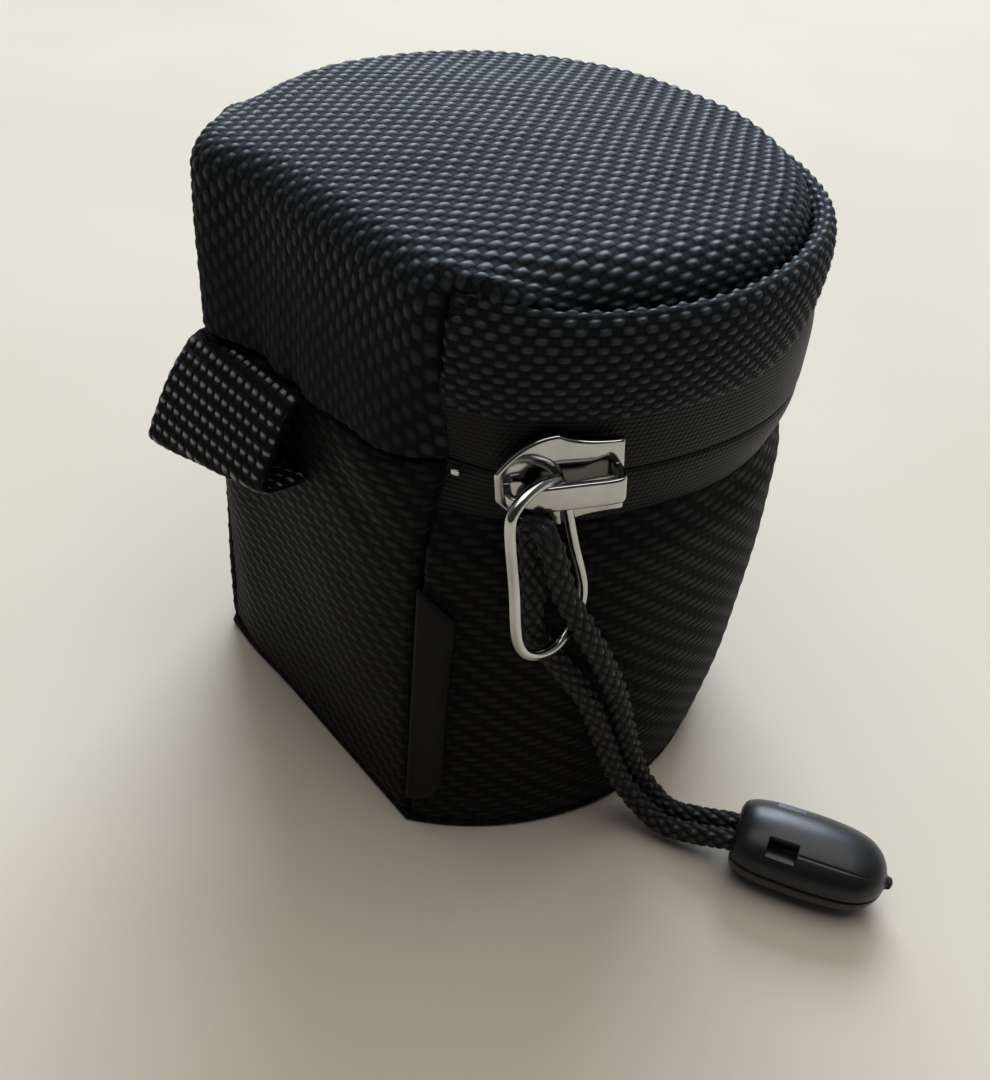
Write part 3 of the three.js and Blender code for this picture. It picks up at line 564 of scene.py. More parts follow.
def pull_cord():
    """Braided tube along the route: two families of yarns wind either way round it, and where they cross,
    the one on top stands up as a small pillow, as in a plain weave laid slantwise round the tube."""
    yarns, lay = 6, 2.6
    path = smooth_path(CORD_ROUTE, 900)
    turn, run = np.meshgrid(np.linspace(0, 2 * np.pi, 49), run_length(path))
    slant = yarns * turn / (2 * np.pi)
    a, b = slant + run / lay, slant - run / lay
    product = np.sin(np.pi * a) * np.sin(np.pi * b)
    radius = 1.18 + 0.5 * np.abs(product) ** 0.65 * np.where(product > 0, 1, 0.8)
    points = tube(path, np.array([0.5, -0.86, 0.1]), radius, turn)
    piece = surface("pull_cord_braid", points[:, :-1], "braid", pile(a, b), about_axis=False)
    half = len(path) // 2
    near, far = smooth_path(path[:half], 120), smooth_path(path[half:][::-1], 120)
    return piece, ((near + far) / 2)[::-1] / 1000


aim_camera()
FINISH = make_finishes()
cord, cord_line = pull_cord()


# Cloth of the body

def turned_in(share, reach, depth):
    """Inset that turns a cloth's two ends into their seams on a quarter round."""
    return depth * quarter_round(1 - np.minimum(share, 1 - share) / reach)


def soft_waves(a, b, seed):
    """Slow uneven waves over two lengths in millimetres, a sum of slanted sines with fixed seed."""
    rng = np.random.default_rng(seed)
    total = np.zeros(np.broadcast(a, b).shape)
    for _ in range(9):
        heading, wave, phase = rng.uniform(0, np.pi), rng.uniform(9, 34), rng.uniform(0, 2 * np.pi)
        along = a * np.cos(heading) + b * np.sin(heading)
        total = total + np.sin(2 * np.pi * along / wave + phase) * wave / 34
    return total / 4


def hem_section(low, high, rows, foot_tuck=0.0, head_tuck=0.0):
    """A cloth's closed section as [height, inset] points: its outer face from the foot up, rounded and
    tucked in at both edges, and back down inside."""
    thick, fade = 1.15, 1.2
    round_off = thick * 0.5
    z = np.linspace(low, high, rows)
    face = round_off * quarter_round(1 - np.minimum(z - low, high - z) / round_off)
    face = face + foot_tuck * np.exp(-(z - low) / fade) + head_tuck * np.exp(-(high - z) / fade)
    back = np.linspace(high - round_off / 2, low + round_off / 2, HEM_BACK)
    return np.concatenate([pile(z, face), pile(back, thick)])


def wall_cloth(name, plan, stations, section, lift, reach, near_depth, far_depth):
    """A closed strip of cloth along the wall, from a section of [height, inset] points, outer face first.
    Its ends turn in to two depths, and its outer face takes the twill's height, floats along the wall."""
    z, inset = section.T[:, None]
    outer = len(section) - HEM_BACK
    share = np.linspace(0, 1, stations)[:, None]
    edge = turned_in(share, reach, near_depth + (far_depth - near_depth) * share)
    points = plan(share, z, inset - lift(share, z) + edge)
    along, down = cloth_lengths(points, outer // 2)
    uv = pile(down / TWILL_ROW, along / TWILL_YARN)
    points[:, :outer] = weave_relief(points, uv[:, :-1], -0.13, TWILL)[:, :outer]
    return surface(name, points, "wall_weave_painted_shade", uv)


def front_cloth():
    """The body's round front: a closed strip from the floor's seam to the hem below the zip, softly waved."""
    section = hem_section(1.0, BODY_HEM + 0.3, 205, foot_tuck=0.5)

    def lift(share, z):
        fold = 0.9 * bell(share, 0.60, 0.05) * bell(z, 3, 16)
        hem = -1.3 * smooth_step((z - BODY_HEM + 6) / 6)
        full = 1.5 * bell(share, 0.62, 0.2) * np.sin(np.pi * np.clip(z / 62, 0, 1)) ** 0.7
        return 0.22 * soft_waves(share * FRONT_RUN, z, 4) * np.clip(z / 12, 0.2, 1) - fold + hem + full

    return wall_cloth("front_wrap_cloth", front_plan, 430, section, lift, 0.007, 0.8, 2.2)


def back_cloth():
    """The body's padded back below the fold: a bulging strip, gathered a little at its top seam."""
    section = hem_section(1.0, ZIP_LINE - 0.25, 228, foot_tuck=0.5, head_tuck=1.3)

    def lift(share, z):
        gather = 0.35 * np.sin(share * 31 + 1.2 * np.sin(share * 11)) * np.exp(-(ZIP_LINE - z) / 5)
        pull = 0.7 * bell(share, 0.22, 0.11) * bell(z - 24 * (share - 0.22), 53, 3.2)
        tuck = 0.5 * smooth_step((share - 0.8) / 0.2) * (1 - smooth_step((z - 20) / 35))
        return 0.25 * soft_waves(share * 52, z, 9) * np.clip(z / 12, 0.2, 1) + gather - pull - tuck

    return wall_cloth("lower_back_cloth", across_plan, 131, section, lift, 0.03, 2.0, 0.6)


def plan_ring(z, inset):
    """A closed ring round the whole wall at a height and inset: the front arc, then the back."""
    share = np.linspace(0, 1, RING_FRONT, endpoint=False)
    across = np.linspace(-1, 1, RING_BACK, endpoint=False)
    z = np.broadcast_to(z, RING_FRONT + RING_BACK)
    return np.concatenate([front_plan(share, z[:RING_FRONT], inset), back_plan(across, z[RING_FRONT:], inset)])


def cup(name, rows, finish, pitch):
    """A closed shell over plan rings: rows of [height, inset, share of the way out from the middle]. Cloth
    coordinates are lengths round and down the wall, and level ones on rows that don't go all the way out."""
    points = np.stack([plan_ring(z, inset) * np.array([out, out, 1.0]) for z, inset, out in rows])
    closed = close_ring(points)
    wall = pile(run_length(closed[len(rows) // 2]), run_length(closed, 0))
    level = np.array([out < 1 for _, _, out in rows])[:, None, None]
    uv = np.where(level, closed[..., :2], wall) / pitch
    return surface(name, points, finish, uv)


def rim_heights(front, back):
    """Height of a rim round a plan ring, easing from the front's height to the back's at the corners."""
    share = np.linspace(0, 1, RING_FRONT, endpoint=False)
    ease = smooth_step(np.minimum(share, 1 - share) / 0.02)
    return np.concatenate([back + (front - back) * ease, np.full(RING_BACK, back)])


def floor_cloth():
    """The bottom panel: a rounded disc of the wall's plan, closed at its middle above and below."""
    edge = ((0.0, 0.9), (0.12, 0.45), (0.4, 0.15), (0.75, 0.05), (1.1, 0.15), (1.4, 0.5))
    rows = [(0.0, 0.6, s) for s in (0.02, 0.3, 0.6, 0.85, 0.96)]
    rows += [(z, inset, 1.0) for z, inset in edge]
    rows += [(1.5, 0.9, s) for s in (0.96, 0.85, 0.5, 0.02)]
    return cup("bottom_cloth", rows, "wall_weave_painted_shade", YARN_FINE)


def lining_cup(name, foot, rim, floor_top):
    """The lining as a closed cup: outside up to the rim, over it and down inside to the floor."""
    share = np.linspace(0, 1, 14)
    rows = [(foot, 5.9, s) for s in (0.02, 0.4, 0.8, 0.97)]
    rows += [(foot + (rim - foot) * t, 5.8, 1.0) for t in share]
    rows += [(rim + 0.15 * np.sign(rim - foot), 6.2, 1.0)]
    rows += [(floor_top + (rim - floor_top) * t, 6.6 + 0.15 * np.sin(9 * t), 1.0) for t in share[::-1]]
    rows += [(floor_top, 6.7, s) for s in (0.97, 0.8, 0.4, 0.02)]
    return cup(name, rows, "lining_weave", LINING_YARN)


def floor_pad():
    """The floor's foam: a flat disc of the wall's plan."""
    rows = [(1.8, 6.0, s) for s in (0.02, 0.5, 0.95)]
    rows += [(z, 5.9, 1.0) for z in (2.2, 3.5, 5.2)]
    rows += [(5.8, 6.0, s) for s in (0.95, 0.5, 0.02)]
    return cup("floor_padding", rows, "foam", 1.0)


def top_pad():
    """The lid's foam: a disc with a rounded upper edge, crowned by the square of the way out."""
    rows = [(80.0, 6.2, s) for s in (0.02, 0.5, 0.95)]
    rows += [(z, inset, 1.0) for z, inset in ((80.4, 6.0), (82.0, 6.0), (84.0, 6.6), (85.6, 8.0))]
    rows += [(86.6 + 1.9 * (1 - s ** 2), 10.0, s) for s in (0.97, 0.8, 0.5, 0.02)]
    return cup("lid_padding", rows, "foam", 1.0)


def oblong_rings(plan, run, heights, insets, powers, count, full=1.0):
    """Rings of a strip along the wall with a rounded oblong section between two heights and two insets:
    a sine and a cosine round it, squared off by low powers."""
    t = full_turn(count)
    (low, high), (out, into) = heights, insets
    z = (low + high) / 2 + (high - low) / 2 * full * squared(np.sin(t), powers[0])
    inset = (out + into) / 2 + (into - out) / 2 * full * squared(np.cos(t), powers[1])
    return plan(run, z, inset)


def pad_strip(name, plan, low, high, out, into):
    """Foam between two cloths: a closed strip whose section is a rounded oblong."""
    run = np.linspace(0.003, 0.997, 90)[:, None]
    return surface(name, oblong_rings(plan, run, (low, high), (out, into), (0.35, 0.6), 28), "foam")


def hinge_strip():
    """The padded strip behind the fold: a rounded oblong along the back, as far below the zip line as above it.
    Its ends round off to a point."""
    first, last, rounding = 0.02, 0.98, 0.03
    bend = rounding * (1 - np.cos(np.linspace(0, np.pi / 2, 12)))
    run = np.unique(np.concatenate([np.linspace(first, last, 90), first + bend, last - bend]))[:, None]
    close = np.clip(1 - np.minimum(run - first, last - run) / rounding, 0, 1)
    full = np.sqrt(np.clip(1 - close ** 2, 1e-3, None))
    heights, insets = (ZIP_LINE - 6.5, ZIP_LINE + 6.5), (2.13, 7.27)
    points = oblong_rings(across_plan, run, heights, insets, (0.4, 0.4), 80, full)
    return surface("hinge_strip_cloth", points, "lining_weave", close_ring(points)[..., [0, 2]] / LINING_YARN)


def floor_binding():
    """The binding over the floor's seam inside: a closed section of [height, inset] round the wall."""
    section = (
        (7.3, 7.0), (7.2, 7.4), (7.3, 7.7), (9.0, 7.75), (12.0, 7.75), (13.1, 7.7), (13.2, 7.4), (13.1, 7.0),
        (10.0, 6.95),
    )
    rings = np.stack([plan_ring(z, inset) for z, inset in section])
    uv = np.moveaxis(np.indices((10, 201)), 0, -1) * np.array([2.0, 2.4])
    return surface("floor_seam_binding", rings, "lining_weave", uv, wrap_rows=True)


def seam_binding(name, near):
    """A tape over a corner's seam inside: an upright rounded oblong along the front wall."""
    inner_run = 163
    width = np.linspace(0.4, 6.2, 16) / inner_run
    run = (1 - width[::-1] if near else width)[:, None]
    points = oblong_rings(front_plan, run, (13.7, 55.3), (6.97, 7.73), (0.3, 0.6), 60)
    uv = np.moveaxis(np.indices((16, 61)), 0, -1) * np.array([0.9, 1.5])
    return surface(name, points, "lining_weave", uv)


# Lid

def lid_cloth():
    """The lid's one piece of cloth, laid flat as [a across, b from front to back] and then bent to shape.

    Over the top b runs on the level; at the back it goes round a bend and down the panel to the fold. Towards
    the front rim the distance from the axis goes round a shoulder and down into the band's seam. The shoulder
    fades at the two corners, which stand up as small ears, and the edges turn in on a quarter round."""
    half, fold, shoulder, seam = 25.63, 62.7, 34.3, 38.45
    flat_end, rest = 26, 34.5
    level = np.arange(-42.9, flat_end, YARN_WIDE / 4)
    middle = np.concatenate([level, flat_end + np.linspace(0, 1, 96)[1:] * rest])[:, None]
    reach = 43.4 - 2.9 * smooth_step((middle - 15) / 15)
    wide = np.sqrt(np.clip(reach ** 2 - np.minimum(middle, 32) ** 2, half ** 2 * (middle > 0), None))
    a = np.linspace(-1, 1, 321) * wide
    across = np.clip(a / half, -1, 1)
    bend = 5.0 - 1.5 * smooth_step((a - 2) / 20)
    quarter = bend * np.pi / 2
    begin = back_plan(across, 83.0, 0.0)[..., 1] - bend
    from_axis = np.minimum(np.hypot(a, np.minimum(middle, begin)), 37.5)
    rise = 88.0 + 2.0 * (1 - from_axis ** 2 / shoulder ** 2)
    panel = rise - bend - fold
    length = begin + quarter + panel + 2.0
    b = np.where(middle <= flat_end, middle, flat_end + (middle - flat_end) / rest * (length - flat_end))
    turn = np.clip((b - begin) / bend, 0, np.pi / 2)
    below = np.clip(b - begin - quarter, 0, None)
    z = np.maximum(rise - bend * (1 - np.cos(turn)) - below, fold)
    tucked = np.clip(below - panel, 0, None)
    wall = back_plan(across, z, 0.0)[..., 1]
    gather = 0.4 * np.sin(across * 15 + np.sin(across * 6)) * np.exp(-(z - ZIP_LINE) / 5)
    y = np.where(b <= begin, b, begin + (wall - begin) * np.sin(turn)) - tucked + gather * (below > 0)

    out = np.hypot(a, y) + 1e-9
    angle = np.arctan2(y, a)
    front = 1 - smooth_step((y - 17) / 14)
    off_near = ((angle - math.radians(165)) % (2 * np.pi) + np.pi) % (2 * np.pi) - np.pi
    near = np.exp(-off_near ** 2 / 0.5)
    begin_roll, across_roll = shoulder - 2.4 * near, 6.9 + 2.4 * near
    over = np.clip(out - begin_roll, 0, None)
    roll = np.clip(over / across_roll * np.pi / 2, 0, np.pi / 2)
    rolled = np.minimum(out, begin_roll) + (seam - begin_roll) * np.sin(roll)
    drop = 4.6 * (1 - np.cos(roll)) + np.clip(over - across_roll, 0, None)
    lifted = 0.6 * bell(angle, -math.radians(45), 0.7) * (out / 38) ** 4
    pull = 1 + front * (rolled / out - 1)
    x, y, z = a * pull, y * pull, z - front * drop + front * lifted

    turned = quarter_round(1 - (wide - np.abs(a)) / 3.0)
    on_panel = smooth_step((b - begin) / quarter)
    loose = (1 - front) * (1 - on_panel)
    draw = 1 - 0.05 * turned ** 2 * loose
    x = (x - np.sign(a) * 0.7 * turned * on_panel) * draw
    y = (y - 2.6 * turned * on_panel) * draw
    z = z - 5.0 * turned * loose
    z = z + 0.16 * soft_waves(x, y + z, 21) * (1 - on_panel)
    y = y + 0.2 * soft_waves(x, z, 27) * on_panel
    flat = pile(a, b) + 0.22 * pile(soft_waves(a, b, 5), soft_waves(a, b, 6))
    uv = flat / np.array([YARN_FINE, YARN_WIDE])
    depth = -0.38 + 0.2 * smooth_step((86 - z) / 14) * on_panel
    points = weave_relief(pile(x, y, z), uv, depth, PLAIN)
    return surface("lid_cover_cloth", points, "lid_weave", uv, wrap_cols=False)


def band_cloth():
    """The lid's side band: puffed out of the top's seam, full below it and drawn in to its hem."""
    outline = smooth_path([
        (38.7, 81.6), (38.9, 82.9), (39.6, 83.9), (40.7, 84.1), (41.7, 82.9), (42.15, 80.6), (42.05, 77.8),
        (41.7, 75.2), (41.3, 73.2), (40.8, 71.6), (40.4, 70.8), (40.0, 70.4), (39.75, 70.7),
    ], 64)
    inside = pile(np.linspace(39.75, 38.3, 8), np.linspace(71.2, 81.2, 8))
    outward, z = np.vstack([outline, inside]).T
    outer = np.arange(len(z)) < len(outline)
    run = np.linspace(0, 1, 549)[:, None]
    puff = smooth_step(np.minimum(run, 1 - run) * FRONT_RUN / 18)
    slack = 39.7 + 0.5 * smooth_step((z - 70) / 3) - 1.0 * smooth_step((z - 80) / 3)
    outward = np.where(outer, slack + (outward - slack) * puff, outward) - 0.6 * bell(run, 0.5, 0.12) * outer
    waves = 0.18 * soft_waves(run * FRONT_RUN, z[None], 33) * puff
    upper = np.clip((z - 76) / 8, 0, 1)
    z = z + 0.6 * bell(run, 0.68, 0.14) * upper + 0.9 * (1 - puff) * upper
    points = front_plan(run, z, FRONT_RADIUS - outward - waves * outer + turned_in(run, 0.01, 2.0))
    along, down = cloth_lengths(points, 24)
    uv = pile(down / BAND_ROW, along / BAND_YARN)
    points = np.where(outer[:, None], weave_relief(points, uv[:, :-1], 0.4, PUFFED), points)
    return surface("lid_band_cloth", points, "band_weave_painted_light", uv)


# Zip

def zip_tape(name, low, high):
    """A ribbed tape along the round front, closed round its section; it turns in a little at the zip line."""
    z = np.linspace(low, high, 46)
    back = z[::-5]
    height = np.concatenate([z, back])
    inset = np.concatenate([1.55 + 0.35 * np.exp(-np.abs(z - ZIP_LINE) / 0.5), np.full_like(back, 2.25)])
    ends = np.linspace(0, 0.01, 6)
    share = np.unique(np.concatenate([np.linspace(0, 1, 260), ends, 1 - ends]))[:, None]
    points = front_plan(share, height, inset - tape_fullness(share, height))
    return surface(name, points, "zip_tape", pile(*cloth_lengths(points, 10)))


def zip_coil(name, middle):
    """A wound nylon coil behind the tape: an oval helix along the front arc, a turn about every 1.4 mm."""
    turns, steps = 128, 14
    t = np.linspace(0, turns, turns * steps)
    share = 0.012 + 0.976 * t / turns
    z = middle + 0.95 * np.cos(2 * np.pi * t)
    inset = 3.3 + 0.62 * np.sin(2 * np.pi * t)
    path = front_plan(share, z, inset - tape_fullness(share, z))
    return surface(name, tube(path, np.array([0.03, 0.02, 1.0]), 0.2, full_turn(6)), "coil")


def zip_stop(name, node):
    """A crimped metal stop on the lower tape's end: a sphere whose sines and cosines are taken to a low
    power, which makes a rounded block, turned to the tape's own direction."""
    height, block = 61.1, 0.4
    low, high = (np.array(corner) * 1000 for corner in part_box(node))
    x, y, _ = (low + high) / 2 - np.array([0, AXIS_Y, 0])
    turn = math.asin(BACK_DEPTH / FRONT_RADIUS)
    share = (turn - math.atan2(y, x)) % (2 * np.pi) / (np.pi + 2 * turn)
    place = share + np.array([-0.002, 0, 0.002])
    before, seat, after = front_plan(place, height, 1.4 - tape_fullness(place, height))
    ahead = unit(after - before)
    outward = np.cross([0, 0, 1], ahead)
    lat, lon = np.meshgrid(np.linspace(-np.pi / 2, np.pi / 2, 17)[1:-1], full_turn(32), indexing="ij")
    level = squared(np.cos(lat), block)
    out = 0.4 * level * squared(np.cos(lon), block)
    along = 0.6 * level * squared(np.sin(lon), block)
    up = 0.45 * squared(np.sin(lat), block)
    points = seat + out[..., None] * outward + along[..., None] * ahead + up[..., None] * np.array([0, 0, 1.0])
    return surface(name, points, "chrome")


# Slider, wire ring and cord end

def slider_outline(length, width, tail):
    """Half-round nose, two shoulders and necks drawn in to a square tail, as [along, up] points."""
    nose, half, neck = -length / 2, width / 2, tail / 2
    t = np.linspace(0, 1, 30, endpoint=False)[:, None]

    def bow(a, b, c):
        return (1 - t) ** 2 * np.array(a) + 2 * t * (1 - t) * np.array(b) + t ** 2 * np.array(c)

    below = np.vstack([
        bow((nose, -half * 0.28), (nose * 0.55, -half), (0, -half)),
        bow((0, -half), (-nose * 0.3, -neck), (-nose - 0.3, -neck)),
        [(-nose - 0.08, -neck + 0.08), (-nose, -neck + 0.3)],
    ])
    side = pile(-nose, np.linspace(-neck + 0.9, neck - 0.9, 6))
    above = below[::-1] * np.array([1, -1])
    front = pile(nose, np.linspace(half * 0.2, -half * 0.2, 4))
    return np.vstack([below, side, above, front])


def cast_plate(outline, low, high, dome, edge):
    """A cast plate as rows of [outward, along, up]: both edges rounded, its outer face a shallow dome."""
    centre = outline.mean(0)
    inward = unit(centre - outline) * edge
    rim = outline + inward
    bend = np.linspace(0, np.pi / 2, 6)
    rings = [(low, centre + (outline - centre) * s) for s in (0.03, 0.5)]
    rings += [(low + edge * (1 - np.sin(b)), outline + inward * (1 - np.cos(b))) for b in bend[::-1]]
    rings += [(high - edge * (1 - np.sin(b)), outline + inward * (1 - np.cos(b))) for b in bend]
    rings += [(high + dome * (1 - s ** 2), centre + (rim - centre) * s) for s in (0.9, 0.75, 0.55, 0.3, 0.03)]
    return np.stack([np.insert(line, 0, out, 1) for out, line in rings])


def slider():
    """The zip's casting: a domed front plate, a back plate behind the coils and the post that joins them."""
    t = full_turn(24)
    oval = pile(1.5 * squared(np.cos(t), 0.5) + POST_ALONG, 0.4 * squared(np.sin(t), 0.5))
    shapes = {
        "slider_front_plate": cast_plate(slider_outline(15.4, 13.0, 10.0), 39.9, 41.2, 0.3, 0.45),
        "slider_back_plate": cast_plate(slider_outline(13.4, 9.6, 9.4), 32.7, 33.85, 0.0, 0.35),
        "slider_post": np.stack([np.insert(oval, 0, out, 1) for out in np.linspace(33.6, 40.2, 6)]),
    }
    return [surface(name, slider_frame(rows, SLIDER_TILT), "chrome") for name, rows in shapes.items()]


def slider_crown():
    """The strap over the slider: a rounded oblong section from its nose foot over to its tail foot."""
    line = smooth_path([
        (41.35, -6.35), (43.1, -6.35), (43.75, -5.9), (43.95, -5.0), (44.0, -2), (44.0, 2), (43.95, 5.9),
        (43.7, 6.75), (43.0, 7.0), (41.35, 7.0),
    ], 90)
    ahead = unit(np.gradient(line, axis=0))
    thick = pile(ahead[:, 1], -ahead[:, 0])
    narrow, broad = 0.7, 1.75
    wide = narrow + (broad - narrow) * smooth_step((run_length(line) - 3.6) / 1.6)
    t = full_turn(28)
    flat = line[:, None] + 0.52 * squared(np.sin(t), 0.45)[:, None] * thick[:, None]
    up = wide[:, None] * squared(np.cos(t), 0.45)
    points = np.concatenate([flat, up[..., None]], -1)
    return surface("slider_crown_strap", slider_frame(points, SLIDER_TILT), "chrome")


def pull_ring():
    """The wire pull: a round section along a closed ring, wider at its bowed foot, hung on the crown."""
    turn, lean, swing = math.radians(56), math.radians(10), math.radians(13.8)
    sweep = np.pi * np.arange(7) / 6
    top = pile(4.1 * np.cos(sweep), 2.3 * np.sin(sweep))
    side = np.array([(4.95, -9.1), (5.6, -16.8), (4.7, -19.5), (2.8, -21.4)])
    across, up = np.vstack([top, side * np.array([-1, 1]), [(0, -22.3)], side[::-1]]).T
    out = across * math.cos(swing) + up * math.sin(swing)
    rise = up * math.cos(swing) - across * math.sin(swing)
    out, along = 44.9 + out * math.cos(turn) - rise * math.sin(lean), -3.5 - out * math.sin(turn)
    local = pile(out, along, rise * math.cos(lean))
    path = smooth_path(slider_frame(local), 220, closed=True)
    normal = unit(np.cross(path[60] - path[0], path[140] - path[0]))
    points = tube(path, normal, 0.74, full_turn(14), closed=True)
    return surface("pull_ring_wire", points, "chrome", wrap_rows=True)


def cord_end(name, upper):
    """One snapped shell of the cord end: a flattened bullet cut at its parting line, a half oval in section.
    The upper shell has a scored line and two latch windows; double grid lines give these steep sides."""
    nose = 19.5 + 3.0 * np.sin(np.linspace(0, np.pi / 2, 22))
    along = np.unique(np.concatenate([np.linspace(0, 19.5, 66), [4.7, 4.76, 8.74, 8.8], nose]))[:, None]
    shape = smooth_path([
        (0, 0.6), (0.25, 0.74), (1.3, 0.88), (4, 0.985), (8.2, 1.02), (13, 1.01), (16.6, 0.94), (18.9, 0.8),
        (20.4, 0.58), (21.1, 0.38), (21.45, 0.2), (21.7, 0.15), (22.25, 0.12), (22.5, 0.03),
    ], 500)
    half = np.interp(along, shape[:, 0], shape[:, 1])
    bounds = np.array([0.62, 0.63, 1.08, 1.09])
    line = np.pi - np.array([0.83, 0.85, 0.87, 0.89])
    steps = np.unique(np.concatenate([np.linspace(0.02, np.pi - 0.02, 60), bounds, np.pi - bounds, line]))
    turn, lip = (steps, 0.13) if upper else (-steps, -0.13)
    y, z = half * (6.4 * np.cos(turn)), half * (5.1 * np.sin(turn))
    if upper:
        mirrored = np.pi - steps
        in_reach = (along > 4.73) & (along < 8.77)
        in_turn = np.abs(np.minimum(steps, mirrored) - 0.855) < 0.23
        scored = (along > 8.77) & (along < 20.5) & (np.abs(mirrored - 0.86) < 0.016)
        scale = np.where(in_reach & in_turn, 0.34, np.where(scored, 0.975, 1.0))
        y, z = y * scale, z * scale
    face = pile(along, y, z + lip)
    floor = face[:, ::-4] * np.array([1, 0.8, 0]) + np.array([0, 0, lip])
    x, y, z = np.moveaxis(np.concatenate([face, floor], 1), -1, 0)
    c, s = math.cos(END_HEADING), math.sin(END_HEADING)
    points = pile(-57.5 + x * c - y * s, -5.85 + x * s + y * c, 5.25 + z)
    return surface(name, points, "plastic", about_axis=False)


# Belt loop and side tab

def belt_loop():
    """Ribbed webbing: leaves the back seam, runs out and down to a fold and comes back, longer at its far
    edge. Its ribs lie across it, each a row of small pillows set off from those of the next."""
    away, up = smooth_path([
        (0, 1), (0.22, 0.96), (0.5, 0.75), (0.8, 0.42), (0.97, 0.18), (1, 0.1), (0.9, 0.03), (0.6, 0.01),
        (0, 0),
    ], 150).T
    width, gap, rib_pitch, float_pitch = 25, 0.3, 1.85, 0.93
    share = np.linspace(0, 1, 99)[:, None]
    x = 8 + width * (share - 0.5)
    reach, foot, head = 6.2 + 4.0 * share, 49.6 - 5.1 * share, 61.7 - 1.5 * share
    out = gap + away * (reach - gap)
    z = foot + up * (head - foot)
    run_out, run_up = np.moveaxis(unit(np.gradient(pile(out, z), axis=1)), -1, 0)
    rib = run_length(pile(out, z), 1) / rib_pitch
    float_at = x / float_pitch + 0.6 * rib
    crest = weave_level(rib, float_at, CORDED)
    edge = 1 - 0.55 * np.exp(-np.minimum(share, 1 - share) * width / 0.5)

    def face(side):
        thick = side * (0.5 + 0.42 * crest) * edge
        h = z + run_out * thick
        wall = back_plan(np.clip(x / 25.6, -1, 1), h, 0.0)[..., 1]
        flat = BACK_DEPTH + back_bulge(h) + out - run_up * thick
        return pile(x, np.maximum(flat, wall + 0.15), h)

    return two_faced("belt_loop_webbing", face(1.0), face(-1.0), pile(rib, float_at), "webbing")


def side_tab():
    """A bare folded tab in the near corner's seam: it lies on the wall and lifts at its free edge."""
    wide, rounding = 5.6, 0.5
    width = np.linspace(0, wide, 26)[:, None]
    t = np.linspace(0, 1, 90)
    low, high = 6 + 4.5 * (width / wide) ** 3, 45 - 0.75 * width
    z = low + (high - low) * t
    share = 1 - (0.3 + width) / FRONT_RUN
    lift = 0.45 + 1.1 * smooth_step(width / wide) * np.sin(np.pi * (0.1 + 0.8 * t))
    edge = np.minimum(np.minimum(width, wide - width) / rounding, np.minimum(t, 1 - t) * 38 / rounding)
    thick = 0.12 + 0.3 * np.sqrt(edge.clip(0, 1))
    outer, inner = front_plan(share, z, -(lift + thick)), front_plan(share, z, -(lift - thick))
    return two_faced("side_tab_tape", outer, inner, pile(width, z), "tab_tape")


# Light and floor

def lay_floor():
    """A plain pale floor under the pouch."""
    line = np.linspace(-1500, 1500, 9)
    floor = surface("floor", pile(line[:, None], line, -0.05), "floor", wrap_cols=False, about_axis=False)
    if floor.data.polygons[0].normal.z < 0:
        floor.data.flip_normals()


def soft_light(name, place, aim, size, watts, colour):
    """A square soft box at a place, turned to a point."""
    data = bpy.data.lights.new(name, "AREA")
    data.shape = "RECTANGLE"
    data.size, data.size_y = size
    data.energy = watts
    data.color = colour
    lamp = bpy.data.objects.new(name, data)
    lamp.location = place
    lamp.rotation_euler = (Vector(aim) - Vector(place)).to_track_quat("-Z", "Y").to_euler()
    bpy.context.collection.objects.link(lamp)


def light_studio():
    """A soft box behind the pouch, a broad one above it, and a grey room that is brighter behind the pouch."""
    soft_light("back_soft_box", (1.92, -1.71, 2.0), (0, 0, 0.06), (2.2, 1.5), 162.0, (0.74, 0.87, 1.0))
    soft_light("top_soft_box", (0.05, -0.05, 1.5), (0, 0, 0), (1.6, 1.6), 17.0, (1.0, 0.98, 0.95))
    world = bpy.data.worlds.new("studio")
    bpy.context.scene.world = world
    world.use_nodes = True
    tree = world.node_tree
    heading = add_node(tree, "ShaderNodeTexCoord").outputs["Generated"]
    x, y, _ = add_node(tree, "ShaderNodeSeparateXYZ", {0: heading}).outputs
    level = add_node(tree, "ShaderNodeMath", {0: x, 1: y}, operation="SUBTRACT").outputs[0]
    fade = add_node(tree, "ShaderNodeMapRange", {0: level, 1: -0.95, 2: 0.9, 3: 0.04, 4: 0.34}).outputs[0]
    back = tree.nodes["Background"]
    back.inputs[0].default_value = (0.80, 0.82, 0.86, 1)
    tree.links.new(fade, back.inputs[1])
    bpy.context.scene.view_settings.view_transform = "Standard"


# Making

settle(cord, "zip_pull", "cord", "pull_cord", "cord_knot")
upper_shell = settle(cord_end("cord_end_upper_shell", True), "zip_pull", "cord_end_plastic", "cord_end_upper")
lower_shell = settle(cord_end("cord_end_lower_shell", False), "zip_pull", "cord_end_plastic", "cord_end_lower")
line_length = float(run_length(cord_line)[-1])
settle(pull_ring(), "zip_pull", "chrome", "pull_bail")

settle(front_cloth(), "pouch_body", "twill_cloth", "front_wrap")
settle(back_cloth(), "pouch_body", "twill_cloth", "lower_back_panel")
settle(floor_cloth(), "pouch_body", "twill_cloth", "bottom_panel")
loop = settle(belt_loop(), "pouch_body", "webbing", "belt_loop")
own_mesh(loop)
settle(side_tab(), "pouch_body", "webbing", "side_tab")

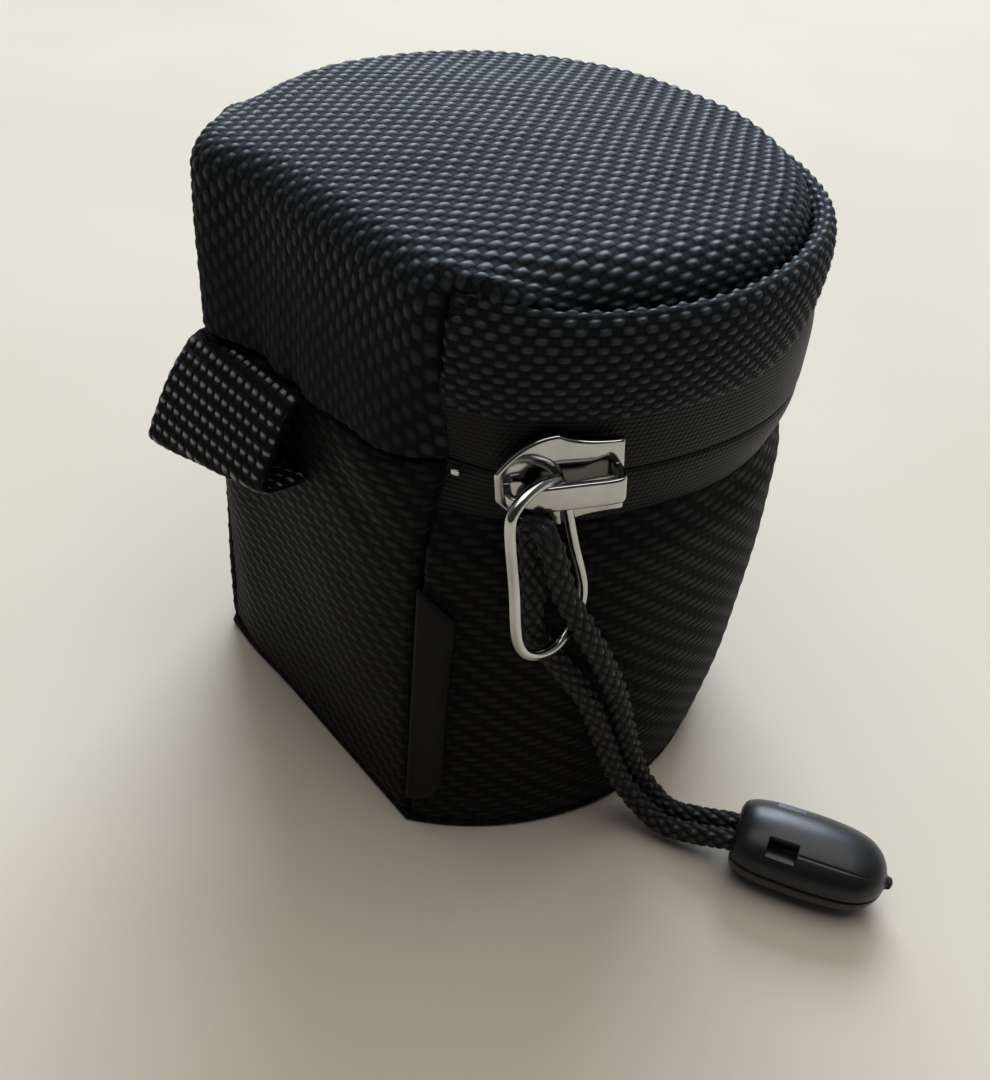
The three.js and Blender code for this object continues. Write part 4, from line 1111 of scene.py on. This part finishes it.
body_rim, lid_rim = rim_heights(BODY_HEM, ZIP_LINE - 0.5), rim_heights(BAND_HEM, ZIP_LINE + 0.5)
settle(lining_cup("body_lining_cup", 6.1, body_rim, 6.9), "pouch_body", "lining", "body_lining")
settle(lining_cup("lid_lining_cup", 79.6, lid_rim, 78.8), "lid", "lining", "lid_lining")

strip = hinge_strip()
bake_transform(strip)

for name, plan, low, high, out, into, body, node in (
    ("front_padding", front_plan, 1.9, 55.2, 1.6, 5.5, "pouch_body", "front_foam"),
    ("back_padding", across_plan, 1.9, 61.9, 1.6, 5.5, "pouch_body", "back_foam"),
    ("lid_band_padding", front_plan, 70.9, 81.0, 2.6, 5.5, "lid", "lid_band_foam"),
    ("lid_back_padding", across_plan, 62.8, 79.7, 1.6, 5.5, "lid", "lid_back_foam"),
):
    pad = settle(pad_strip(name, plan, low, high, out, into), body, "foam", node)
settle(floor_pad(), "pouch_body", "foam", "bottom_foam")
settle(top_pad(), "lid", "foam", "lid_pad")

settle(lid_cloth(), "lid", "coarse_cloth", "lid_cover")
settle(band_cloth(), "lid", "coarse_cloth", "lid_side_band")

settle(zip_tape("lower_tape", 51.5, ZIP_LINE - 0.05), "pouch_body", "zip_tape", "lower_zip_tape")
settle(zip_tape("upper_tape", ZIP_LINE + 0.05, 74.3), "lid", "zip_tape", "upper_zip_tape")
settle(zip_coil("lower_coil", 60.5), "pouch_body", "zip_tape", "lower_zip_coil")
settle(zip_coil("upper_coil", 64.1), "lid", "zip_tape", "upper_zip_coil")
for name, node in (("near_stop_crimp", "near_zip_stop"), ("far_stop_crimp", "far_zip_stop")):
    settle(zip_stop(name, node), "pouch_body", "chrome", node)

front_plate, *behind = slider()
settle(front_plate, "zip_slider", "chrome", "slider_body")
for plate in behind:
    settle(plate, "zip_slider", "chrome")
settle(slider_crown(), "zip_slider", "chrome", "slider_crown")

settle(floor_binding(), "pouch_body", "lining", "bottom_binding")
settle(seam_binding("near_seam_binding", True), "pouch_body", "lining", "near_seam_tape")
settle(seam_binding("far_seam_binding", False), "pouch_body", "lining", "far_seam_tape")

lay_floor()
light_studio()
